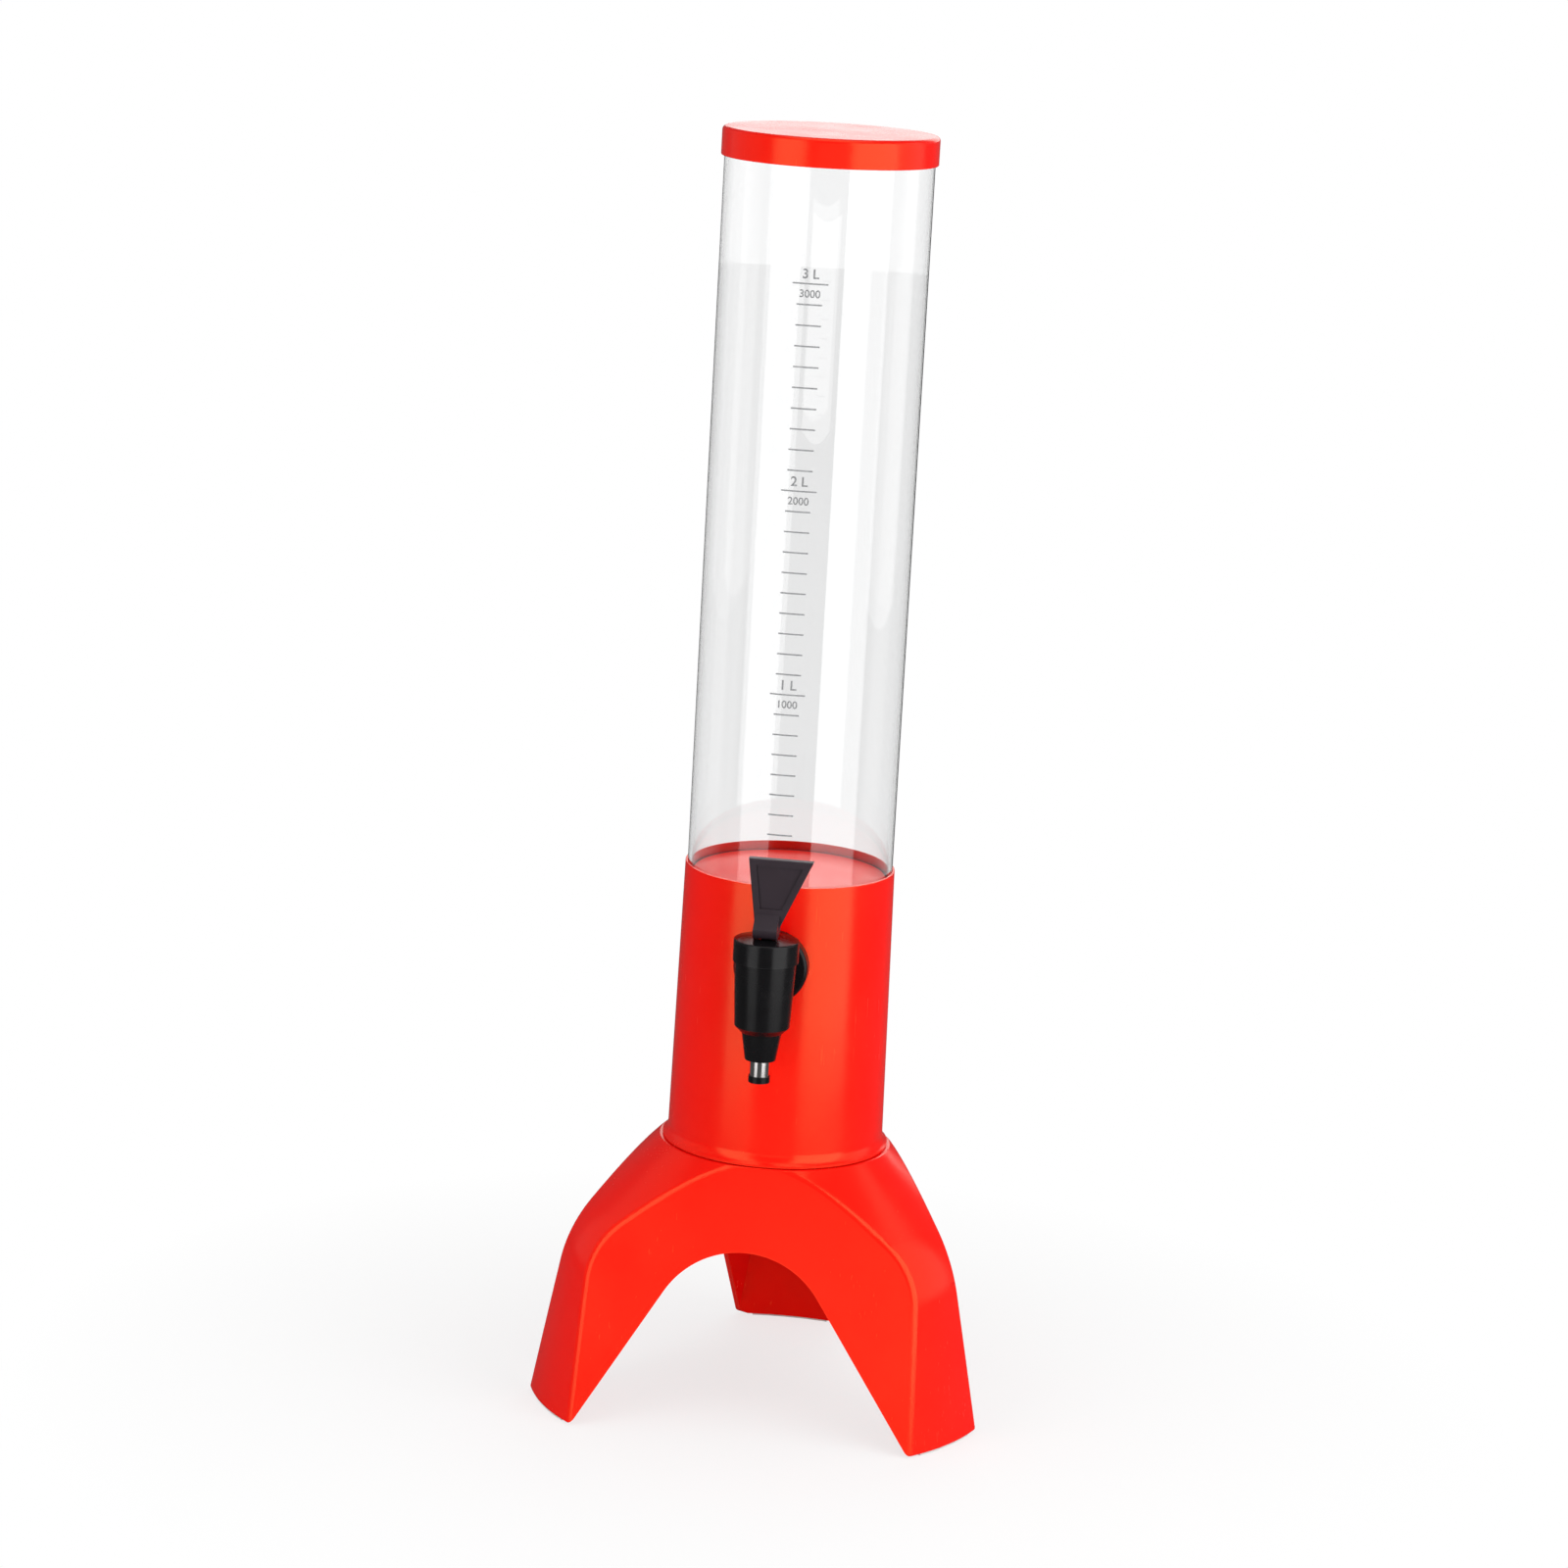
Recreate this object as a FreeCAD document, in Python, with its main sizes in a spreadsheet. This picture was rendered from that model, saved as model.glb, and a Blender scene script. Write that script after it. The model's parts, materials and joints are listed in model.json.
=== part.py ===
import FreeCAD, Part
import math
import os

import Sketcher
from FreeCAD import Placement, Rotation, Vector

# Free-standing three-litre beer tower: a three-legged base, a housing with a tap, a clear tube and a lid.
# Millimetres, +Z up. The origin is on the tube's axis at table level. The tap faces -Y.

# Driving dimensions: alias, value, meaning
DIMENSIONS = [
    ("overall_height", 700.6, "table to the lid's top"),
    ("base_height", 146.6, "table to the base's top rim"),
    ("foot_radius", 130.0, "axis to the outside of a foot at table level"),
    ("foot_slope_deg", 9.0, "lean of a leg's lower outer face from upright"),
    ("rim_margin", 1.8, "flat rim outside the housing's collar"),
    ("shoulder_slope_deg", 43.8, "fall of the shoulder below level"),
    ("shoulder_round", 58.0, "radius between shoulder and leg"),
    ("panel_margin", 0.4, "flat side panel outside the housing's collar, at the rim's height"),
    ("panel_foot", 90.0, "axis to a flat side panel at table level"),
    ("base_wall", 3.0, "wall of the base shell"),
    ("foot_wall", 4.5, "wall of the base shell at the sole"),
    ("rim_depth", 6.6, "solid depth of the base's top rim"),
    ("base_edge_round", 4.8, "rounding along the panels"),
    ("rim_edge_round", 1.0, "rounding of the base's top rim"),
    ("foot_edge_round", 1.0, "rounding under the feet"),
    ("arch_drop", 45.7, "base rim to the top of an arch"),
    ("arch_round", 50.0, "radius of an arch"),
    ("arch_offset", 4.0, "top of an arch left of its panel's middle, seen from outside"),
    ("arch_left_deg", 31.0, "lean of an arch's left side"),
    ("arch_right_deg", 35.0, "lean of an arch's right side"),
    ("arch_foot_round", 7.0, "rounding between an arch and the sole"),
    ("arch_foot_sink", 0.4, "lowest point of that rounding below the sole"),
    ("pad_thick", 1.0, "thickness of a foot pad, which lifts the sole off the table"),
    ("pad_width", 2.8, "width of a foot pad"),
    ("pad_inset", 0.2, "foot pad from the sole's rounded edge"),
    ("pad_arc_deg", 20.0, "arc of a foot pad"),
    ("socket_depth", 38.6, "base rim to the inner floor, where the housing stands"),
    ("socket_floor_thick", 4.0, "thickness of that floor"),
    ("socket_gap", 0.35, "gap between housing and socket"),
    ("boss_inset", 14.25, "housing's outside to the axis of a base screw"),
    ("base_screw_dia", 4.0, "base screw"),
    ("base_screw_head", 8.6, "base screw head"),
    ("screw_slack", 0.4, "clearance hole over screw diameter"),
    ("screw_bite", 0.1, "pilot hole over screw diameter"),
    ("boss_dia", 10.0, "screw boss in the housing"),
    ("boss_height", 14.0, "height of a screw boss"),
    ("housing_rise", 155.4, "base rim to the housing's top edge"),
    ("housing_draft", 2.05, "housing's radius at its collar over that at its top"),
    ("lip_wall", 1.05, "housing's wall round the tube, at its top"),
    ("lip_round", 0.35, "rounding of the housing's top edge"),
    ("housing_wall", 3.0, "wall of the housing"),
    ("collar_step", 2.75, "collar over the housing, where it covers the joint to the base"),
    ("collar_edge", 1.2, "straight edge of the collar"),
    ("collar_rise", 5.6, "height of the collar's hollow curve"),
    ("collar_gap", 0.5, "shadow gap under the collar"),
    ("tube_seat", 16.0, "housing's top edge to the ledge that carries the tank floor"),
    ("ledge_lap", 1.2, "ledge inside the tank floor's plug"),
    ("ledge_thick", 3.5, "thickness of that ledge at its inner edge"),
    ("ledge_cone", 8.5, "height of the cone below the ledge"),
    ("tube_outer_dia", 112.0, "clear tube outside"),
    ("tube_wall", 2.0, "clear tube wall"),
    ("tube_gap", 0.15, "gap between the tube and the parts around its foot"),
    ("floor_drop", 4.5, "housing's top edge to the tank floor, zero of the scale"),
    ("floor_plate", 4.0, "thickness of the tank floor"),
    ("floor_flange", 4.0, "thickness of the tank floor's flange"),
    ("floor_plug_wall", 7.0, "wall of the tank floor's plug"),
    ("gasket_thick", 1.4, "gasket under the tube"),
    ("gasket_lip", 1.2, "room for the gasket's lip between plug and tube"),
    ("floor_screw_dia", 3.0, "tank floor screw"),
    ("floor_screw_head", 7.0, "tank floor screw head"),
    ("floor_screw_seat", 4.8, "ledge over the tank floor's screw heads"),
    ("floor_screw_reach", 7.0, "screw length inside the tank floor"),
    ("lid_wall", 1.45, "wall of the lid's skirt"),
    ("lid_skirt", 15.4, "height of the lid"),
    ("lid_plate", 2.8, "thickness of the lid's top"),
    ("lid_edge_round", 2.4, "rounding of the lid's top edge"),
    ("lid_foot_round", 0.6, "rounding of the lid's lower edge"),
    ("lid_gap", 0.35, "gap between lid and tube"),
    ("lid_seat_gap", 0.2, "gap over the tube's end"),
    ("lid_plug_depth", 11.0, "depth of the lid's plug"),
    ("lid_plug_gap", 0.9, "gap between the plug and the tube, bridged by the seal"),
    ("lid_plug_wall", 2.4, "wall of the lid's plug"),
    ("lid_seal_height", 2.8, "height of the lid seal"),
    ("lid_seal_depth", 1.0, "depth of the seal's groove"),
    ("lid_seal_drop", 4.0, "top of the seal below the plug's root"),
    ("seal_slack", 0.05, "play of a ring in its groove"),
    ("mark_pitch_litre", 0.1, "litres from mark to mark"),
    ("first_mark_litre", 0.3, "lowest mark"),
    ("mark_count", 28, "marks up to three litres, where the tube is long enough"),
    ("mark_line", 0.8, "height of a mark"),
    ("mark_width", 13.5, "width of a mark"),
    ("litre_mark_width", 19.0, "width of a whole-litre mark"),
    ("ink_thick", 0.12, "thickness of the print"),
    ("ink_gap", 0.02, "print above the tube"),
    ("spigot_wall", 1.4, "wall of a hose spigot"),
    ("spigot_length", 15.0, "length of a hose spigot"),
    ("waterway_dia", 6.8, "bore of the outlet and the shank"),
    ("hose_wall", 1.9, "hose wall"),
    ("hose_slack", 0.05, "gap between hose and spigot"),
    ("hose_bend", 17.0, "bend radius of the hose"),
    ("hose_straight", 1.0, "straight hose between spigot and bend"),
    ("hose_gap", 0.5, "gap between the hose's ends and the shoulders"),
    ("clip_thick", 0.9, "hose clip band"),
    ("clip_width", 6.0, "hose clip width"),
    ("clip_inset", 4.0, "clip from the hose's end"),
    ("tap_headroom", 1.0, "tap's saddle washer below the cone of the tank floor's ledge"),
    ("tap_stand", 21.0, "tap's upright axis in front of the flange"),
    ("flange_dia", 40.0, "round flange against the housing"),
    ("flange_thick", 7.2, "flange and gasket in front of the housing"),
    ("flange_round", 2.0, "rounding of the flange"),
    ("flange_gasket", 1.0, "gasket under the flange"),
    ("shank_dia", 16.0, "threaded shank"),
    ("shank_slack", 0.4, "shank hole over shank diameter"),
    ("shank_inside", 12.3, "shank behind the housing's wall"),
    ("shank_collar_step", 1.0, "collar between body and flange, over the shank"),
    ("washer_lap", 2.0, "saddle washer outside the lock nut's flats"),
    ("washer_thick", 4.4, "saddle washer behind the housing's wall"),
    ("nut_wall", 4.0, "lock nut from the shank to a flat"),
    ("nut_thick", 6.0, "lock nut"),
    ("body_shoulder", 2.5, "tap body outside the bonnet's thread"),
    ("body_taper", 1.7, "tap body's radius at its shoulder over that at its lower edge"),
    ("body_headroom", 0.3, "tap body's shoulder over the shank's collar"),
    ("body_drop", 26.0, "shank axis to the body's lower edge"),
    ("body_chamfer", 3.3, "chamfer of that edge"),
    ("thread_wall", 2.5, "wall between valve chamber and thread"),
    ("thread_length", 7.4, "length of that thread"),
    ("chamber_dia", 23.0, "valve chamber"),
    ("seat_drop", 18.0, "shank axis to the valve seat"),
    ("outlet_dia", 9.0, "hole in the valve seat"),
    ("nozzle_wall", 3.05, "wall round the spout at the neck's end"),
    ("nozzle_taper", 2.45, "neck's radius under the body over that at its end"),
    ("neck_end", 44.5, "shank axis to the neck's end"),
    ("spout_dia", 10.4, "metal spout tube"),
    ("spout_wall", 1.0, "wall of the spout tube"),
    ("spout_slack", 0.05, "gap between spout and neck"),
    ("spout_socket", 13.5, "depth of the spout's socket"),
    ("spout_end", 54.0, "shank axis to the spout's end"),
    ("tip_wall", 0.55, "wall of the spout tip round the tube"),
    ("tip_end", 57.0, "shank axis to the tip's end"),
    ("tip_overlap", 0.5, "tip over the spout tube"),
    ("bonnet_wall", 3.4, "wall of the bonnet round the thread"),
    ("bonnet_top", 22.6, "shank axis to the bonnet's top"),
    ("bonnet_flat_dia", 17.2, "flat middle of the bonnet's top"),
    ("bonnet_fall", 1.2, "fall of the bonnet's top from its middle to its edge"),
    ("bonnet_gap", 0.2, "gap between bonnet and body"),
    ("bonnet_round", 1.0, "rounding of the bonnet"),
    ("thread_gap", 0.1, "gap in the bonnet's thread"),
    ("stem_dia", 6.0, "valve stem"),
    ("stem_slack", 0.1, "radial gap round the stem"),
    ("ring_section", 2.2, "section of the stem ring"),
    ("ring_room", 0.1, "room round the stem ring"),
    ("spring_washer_lap", 1.95, "washer over the spring, outside it"),
    ("spring_washer_thick", 1.0, "thickness of that washer"),
    ("stem_collar_lap", 0.95, "collar under the spring, outside it"),
    ("stem_collar_drop", 6.0, "shank axis to the collar's top"),
    ("stem_collar_thick", 2.5, "thickness of the collar"),
    ("stem_barb_dia", 3.2, "barb that holds the seal"),
    ("stem_top_round", 4.0, "stem above the handle's pin"),
    ("seal_lap", 2.7, "valve seal outside the hole in its seat"),
    ("seal_base", 2.5, "seal below the barb"),
    ("seat_gap", 0.05, "gap between seal and seat when closed"),
    ("spring_room", 2.95, "gap between stem and spring"),
    ("spring_wire", 1.1, "spring wire"),
    ("spring_turns", 7, "turns of the spring"),
    ("pin_dia", 2.5, "handle pin"),
    ("pin_slack", 0.05, "radial gap between pin and stem"),
    ("pin_inset", 0.2, "pin ends below the handle's sides"),
    ("toe_radius", 6.0, "rounded toe that rocks on the bonnet"),
    ("toe_forward", 5.6, "toe's centre in front of the pin"),
    ("toe_rise", 1.0, "toe's centre above the pin"),
    ("toe_gap", 0.1, "gap between toe and bonnet"),
    ("fork_cheek", 3.1, "cheek of the handle's fork, beside the stem"),
    ("neck_back", 4.2, "handle behind the pin"),
    ("neck_height", 7.5, "pin to where the neck meets the paddle"),
    ("pull_deg", 40.0, "travel of the handle"),
    ("fork_gap", 0.3, "gap between stem and handle's fork"),
    ("paddle_width", 34.5, "handle at its top"),
    ("paddle_height", 37.4, "pin to the handle's top"),
    ("paddle_thick", 6.0, "handle thickness"),
    ("paddle_lean_deg", 8.6, "sideways lean of the paddle"),
    ("paddle_round", 0.8, "rounding of the paddle"),
    ("panel_inset", 3.6, "rim round the paddle's recess"),
    ("panel_start", 10.5, "pin to the recess"),
    ("panel_depth", 1.0, "depth of the recess"),
]

LEGS = 3
WHOLE_LITRES = 3
HEAD_HEIGHT = 0.7  # screw head over the screw's diameter
SEAL_BULGE = 0.6  # radius of the lid seal's round face over the seal's height
SPRING_PLAY = 0.1  # gap at each end of the spring over its wire
CUBIC_MM_PER_LITRE = 1.0e6
EDGE_SHARE = 0.386  # most rounding along the panels over the shoulder's reach and the panels' slope
CUT_MARGIN = 2.0

doc = FreeCAD.newDocument("beer_tower")
sheet = doc.addObject("Spreadsheet::Sheet", "dims")


class Size:
    """A number now, and the expression that gives it from the sheet."""

    def __init__(self, value, text):
        self.value = float(value)
        self.text = text

    def __add__(self, other):
        other = as_size(other)
        return Size(self.value + other.value, f"({self.text} + {other.text})")

    def __sub__(self, other):
        other = as_size(other)
        return Size(self.value - other.value, f"({self.text} - {other.text})")

    def __mul__(self, other):
        other = as_size(other)
        return Size(self.value * other.value, f"({self.text} * {other.text})")

    def __truediv__(self, other):
        other = as_size(other)
        return Size(self.value / other.value, f"({self.text} / {other.text})")

    def __radd__(self, other):
        return as_size(other) + self

    def __rsub__(self, other):
        return as_size(other) - self

    def __rmul__(self, other):
        return as_size(other) * self

    def __rtruediv__(self, other):
        return as_size(other) / self

    def __neg__(self):
        return Size(-self.value, f"(0 - {self.text})")


def as_size(number):
    if isinstance(number, Size):
        return number
    return Size(number, f"({float(number)!r})")


def sin_of(angle):
    return Size(math.sin(math.radians(angle.value)), f"sin({angle.text})")


def cos_of(angle):
    return Size(math.cos(math.radians(angle.value)), f"cos({angle.text})")


def tan_of(angle):
    return Size(math.tan(math.radians(angle.value)), f"tan({angle.text})")


def root_of(size):
    return Size(math.sqrt(size.value), f"sqrt({size.text})")


def least_of(first, second):
    return Size(min(first.value, second.value), f"min({first.text}; {second.text})")


class Dimensions:
    """The driving dimensions, each read as a Size by its alias."""


def fill_sheet():
    dims = Dimensions()
    for row, (alias, value, meaning) in enumerate(DIMENSIONS, start=1):
        sheet.set(f"A{row}", meaning)
        sheet.set(f"B{row}", str(value))
        sheet.setAlias(f"B{row}", alias)
        setattr(dims, alias, Size(value, f"dims.{alias}"))
    doc.recompute()
    return dims


d = fill_sheet()


# Helpers that draw sketches and make features

def new_body(label, place=None):
    """A body with its own label, moved to place, which is three Sizes."""
    body = doc.addObject("PartDesign::Body", label)
    body.Label = label
    if place:
        body.Placement = Placement(Vector(*[as_size(p).value for p in place]), Rotation())
        for axis, size in zip("xyz", place):
            body.setExpression(f"Placement.Base.{axis}", as_size(size).text)
    return body


def origin_feature(body, role):
    for feature in body.Origin.OriginFeatures:
        if feature.Role == role:
            return feature
    raise ValueError(role)


def new_sketch(body, name, plane, lift=None):
    """An empty sketch on one of the body's origin planes, lifted along the plane's normal."""
    sketch = body.newObject("Sketcher::SketchObject", name)
    sketch.AttachmentSupport = (origin_feature(body, plane), [""])
    sketch.MapMode = "FlatFace"
    if lift is not None:
        lift = as_size(lift)
        sketch.AttachmentOffset = Placement(Vector(0, 0, lift.value), Rotation())
        sketch.setExpression("AttachmentOffset.Base.z", lift.text)
    return sketch


def pin_point(sketch, geometry, position, x, y):
    """Hold a point at x, y from the sketch's origin."""
    for kind, size in (("DistanceX", as_size(x)), ("DistanceY", as_size(y))):
        index = sketch.addConstraint(Sketcher.Constraint(kind, -1, 1, geometry, position, size.value))
        sketch.setExpression(f"Constraints[{index}]", size.text)


def arc_between(start, end, radius):
    """The short arc from start to end; a positive radius turns left, a negative one right."""
    middle = (start + end) / 2
    chord = end - start
    height = math.sqrt(radius ** 2 - (chord.Length / 2) ** 2)
    left = Vector(-chord.y, chord.x, 0) / chord.Length
    centre = middle + left * height * (1 if radius > 0 else -1)
    first, last = (start, end) if radius > 0 else (end, start)
    angles = [math.atan2(p.y - centre.y, p.x - centre.x) for p in (first, last)]
    circle = Part.Circle(centre, Vector(0, 0, 1), abs(radius))
    if angles[1] < angles[0]:
        angles[1] += 2 * math.pi
    return Part.ArcOfCircle(circle, angles[0], angles[1])


def add_outline(sketch, corners):
    """A closed outline. A corner is (x, y), or (x, y, radius) where an arc arrives at it."""
    points = [Vector(as_size(c[0]).value, as_size(c[1]).value, 0) for c in corners]
    sides = []
    for index, corner in enumerate(corners):
        start, end = points[index - 1], points[index]
        if len(corner) == 2:
            geometry = sketch.addGeometry(Part.LineSegment(start, end))
            sides.append((geometry, 1, 2))
            continue
        radius = as_size(corner[2])
        geometry = sketch.addGeometry(arc_between(start, end, radius.value))
        sides.append((geometry, 1, 2) if radius.value > 0 else (geometry, 2, 1))
        size = radius if radius.value > 0 else -radius
        constraint = sketch.addConstraint(Sketcher.Constraint("Radius", geometry, size.value))
        sketch.setExpression(f"Constraints[{constraint}]", size.text)
    for index, corner in enumerate(corners):
        arriving = sides[index]
        leaving = sides[(index + 1) % len(sides)]
        joined = ("Coincident", arriving[0], arriving[2], leaving[0], leaving[1])
        sketch.addConstraint(Sketcher.Constraint(*joined))
        pin_point(sketch, arriving[0], arriving[2], corner[0], corner[1])


def add_circle(sketch, x, y, radius):
    centre = Vector(as_size(x).value, as_size(y).value, 0)
    geometry = sketch.addGeometry(Part.Circle(centre, Vector(0, 0, 1), as_size(radius).value))
    index = sketch.addConstraint(Sketcher.Constraint("Radius", geometry, as_size(radius).value))
    sketch.setExpression(f"Constraints[{index}]", as_size(radius).text)
    pin_point(sketch, geometry, 3, x, y)


def revolve(body, name, corners, cut=False, angle=None, plane="XZ_Plane"):
    """Turn an outline of radius and height about the body's Z axis, or about that axis and cut."""
    sketch = new_sketch(body, name + "_outline", plane)
    add_outline(sketch, corners)
    feature = body.newObject("PartDesign::Groove" if cut else "PartDesign::Revolution", name)
    feature.Profile = sketch
    feature.ReferenceAxis = (sketch, ["V_Axis"])
    if angle is None:
        feature.Angle = 360
    else:
        feature.Midplane = True
        feature.Angle = angle.value
        feature.setExpression("Angle", angle.text)
    doc.recompute()
    return feature


def extrude(body, name, sketch, length=None, cut=False, backwards=False, both=False):
    """Pad or pocket a sketch along its normal; with no length a pocket goes through everything."""
    feature = body.newObject("PartDesign::Pocket" if cut else "PartDesign::Pad", name)
    feature.Profile = sketch
    if length is None:
        feature.Type = "ThroughAll"
    else:
        feature.Length = as_size(length).value
        feature.setExpression("Length", as_size(length).text)
    if both:
        feature.SideType = "Symmetric"
    feature.Reversed = backwards
    volume = body.Shape.Volume if cut else 0
    doc.recompute()
    if cut and abs(body.Shape.Volume - volume) < 1e-3:
        raise RuntimeError(f"{name} removes nothing")
    return feature


def repeat_round(body, name, features, count):
    """Copy features evenly round the body's Z axis."""
    pattern = body.newObject("PartDesign::PolarPattern", name)
    pattern.Originals = features
    pattern.Axis = (origin_feature(body, "Z_Axis"), [""])
    pattern.Angle = 360
    pattern.Occurrences = count
    body.Tip = pattern
    doc.recompute()
    return pattern


def round_edges(body, name, edges, radius):
    """Fillet the edges of the body's tip whose numbers are given."""
    fillet = body.newObject("PartDesign::Fillet", name)
    fillet.Base = (fillet.BaseFeature, [f"Edge{number}" for number in edges])
    fillet.Radius = as_size(radius).value
    fillet.setExpression("Radius", as_size(radius).text)
    doc.recompute()
    if body.Shape.isNull() or not body.Shape.isValid():
        raise RuntimeError(f"{name} failed")
    return fillet


def edge_numbers(body, wanted):
    """Numbers of the edges of the body's tip, in the body's own frame, for which wanted(edge) holds."""
    return [number for number, edge in enumerate(body.Tip.Shape.Edges, start=1) if wanted(edge)]


def edge_middle(edge):
    first, last = edge.ParameterRange
    return edge.valueAt((first + last) / 2)


# Values that several pieces share

tube_radius = d.tube_outer_dia / 2
bore_radius = tube_radius - d.tube_wall
plug_radius = bore_radius - d.gasket_lip - d.seal_slack * 2
tube_pocket = tube_radius + d.tube_gap
litre_height = CUBIC_MM_PER_LITRE / (math.pi * bore_radius * bore_radius)

housing_top = d.base_height + d.housing_rise
ledge_top = housing_top - d.tube_seat
floor_level = housing_top - d.floor_drop
nut_apothem = d.shank_dia / 2 + d.nut_wall
washer_radius = nut_apothem + d.washer_lap
ledge_foot = d.tube_seat + d.ledge_thick + d.ledge_cone
tap_height = housing_top - ledge_foot - washer_radius - d.tap_headroom
tube_foot = ledge_top + d.floor_flange + d.gasket_thick
lid_underside = d.overall_height - d.lid_plate
tube_top = lid_underside - d.lid_seat_gap

collar_foot = d.base_height + d.collar_gap
collar_top = collar_foot + d.collar_edge + d.collar_rise
housing_top_radius = tube_pocket + d.lip_wall
housing_foot_radius = housing_top_radius + d.housing_draft
housing_taper = d.housing_draft / (housing_top - collar_top)
collar_radius = housing_foot_radius + d.collar_step
base_screw_circle = (housing_foot_radius - d.boss_inset) * 2

socket_radius = housing_foot_radius + d.socket_gap
socket_floor = d.base_height - d.socket_depth
rim_radius = collar_radius + d.rim_margin
panel_top = collar_radius + d.panel_margin
arch_apex = d.base_height - d.arch_drop

shank_collar_radius = d.shank_dia / 2 + d.shank_collar_step
body_rise = shank_collar_radius + d.body_headroom
bonnet_ceiling = body_rise + d.thread_length + d.bonnet_gap
pin_height = d.bonnet_top + d.toe_gap + d.toe_radius - d.toe_rise
thread_radius = d.chamber_dia / 2 + d.thread_wall
body_top_radius = thread_radius + d.body_shoulder
body_foot_radius = body_top_radius - d.body_taper
bonnet_radius = thread_radius + d.thread_gap + d.bonnet_wall
nozzle_radius = d.spout_dia / 2 + d.spout_slack + d.nozzle_wall
spring_radius = d.stem_dia / 2 + d.spring_room + d.spring_wire / 2
spring_outside = spring_radius + d.spring_wire / 2
seal_radius = d.outlet_dia / 2 + d.seal_lap
fork_slot = d.stem_dia + d.fork_gap * 2
lever_width = fork_slot + d.fork_cheek * 2

spigot_radius = d.waterway_dia / 2 + d.spigot_wall
hose_bore_radius = spigot_radius + d.hose_slack
hose_outer_radius = hose_bore_radius + d.hose_wall


def housing_outside(height):
    """Outer radius of the housing's tapered wall at a height."""
    return housing_foot_radius - (height - collar_top) * housing_taper


def housing_inside(height):
    return housing_outside(height) - d.housing_wall


flange_front = housing_outside(tap_height) + d.flange_thick
tap_reach = flange_front + d.tap_stand
washer_face = housing_inside(tap_height) - d.washer_thick
shank_end = housing_inside(tap_height) - d.shank_inside
outlet_reach = shank_end - d.spigot_length - d.hose_bend - d.hose_straight


# Base

def base_outline(inset, top, foot):
    """Corners of the base's turned outer face, inset by a wall: rim, shoulder, round and foot."""
    slope = tan_of(d.foot_slope_deg)
    fall = tan_of(d.shoulder_slope_deg)
    foot_line = d.foot_radius - inset / cos_of(d.foot_slope_deg)
    shoulder_line = d.base_height - inset / cos_of(d.shoulder_slope_deg)
    corner_x = (foot_line - slope * shoulder_line - slope * fall * rim_radius) / (1 - slope * fall)
    corner_z = (foot_line - corner_x) / slope
    turn = 90 - d.foot_slope_deg - d.shoulder_slope_deg
    radius = d.shoulder_round - inset
    reach = radius * tan_of(turn / 2)
    before = (corner_x - reach * cos_of(d.shoulder_slope_deg),
              corner_z + reach * sin_of(d.shoulder_slope_deg))
    after = (corner_x + reach * sin_of(d.foot_slope_deg),
             corner_z - reach * cos_of(d.foot_slope_deg))
    rim = rim_radius + (shoulder_line - top) / fall
    return [(rim, top), before, (after[0], after[1], -radius), (foot_line - foot * slope, foot)]


def panel_cut(body, name, inset):
    """Cut the body flat on three sides, along planes that lean outwards to the foot."""
    lean = (d.panel_foot - panel_top) / d.base_height
    back = inset * (1 + lean * lean / 2)
    sketch = new_sketch(body, name + "_side", "YZ_Plane")
    above = d.base_height + CUT_MARGIN
    below = -CUT_MARGIN
    far = -(d.foot_radius * 2)

    def panel_at(height):
        return -(d.panel_foot - lean * height - back)

    below = as_size(below)
    add_outline(sketch, [(panel_at(below), below), (panel_at(above), above), (far, above), (far, below)])
    cut = extrude(body, name, sketch, cut=True, both=True)
    return repeat_round(body, name + "s", [cut], LEGS)


def arch_side(sign, lean):
    """One side of an arch: where its foot's rounding starts and ends, and where it meets the round top."""
    centre = arch_apex - d.arch_round
    top = (sign * d.arch_round * cos_of(lean) - d.arch_offset, centre + d.arch_round * sin_of(lean))
    level = d.pad_thick - d.arch_foot_sink
    corner = top[0] + sign * (top[1] - level) * tan_of(lean)
    reach = d.arch_foot_round * tan_of((90 - lean) / 2)
    on_side = (corner - sign * reach * sin_of(lean), level + reach * cos_of(lean))
    return [(corner + sign * reach, level), on_side, top]


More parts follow.
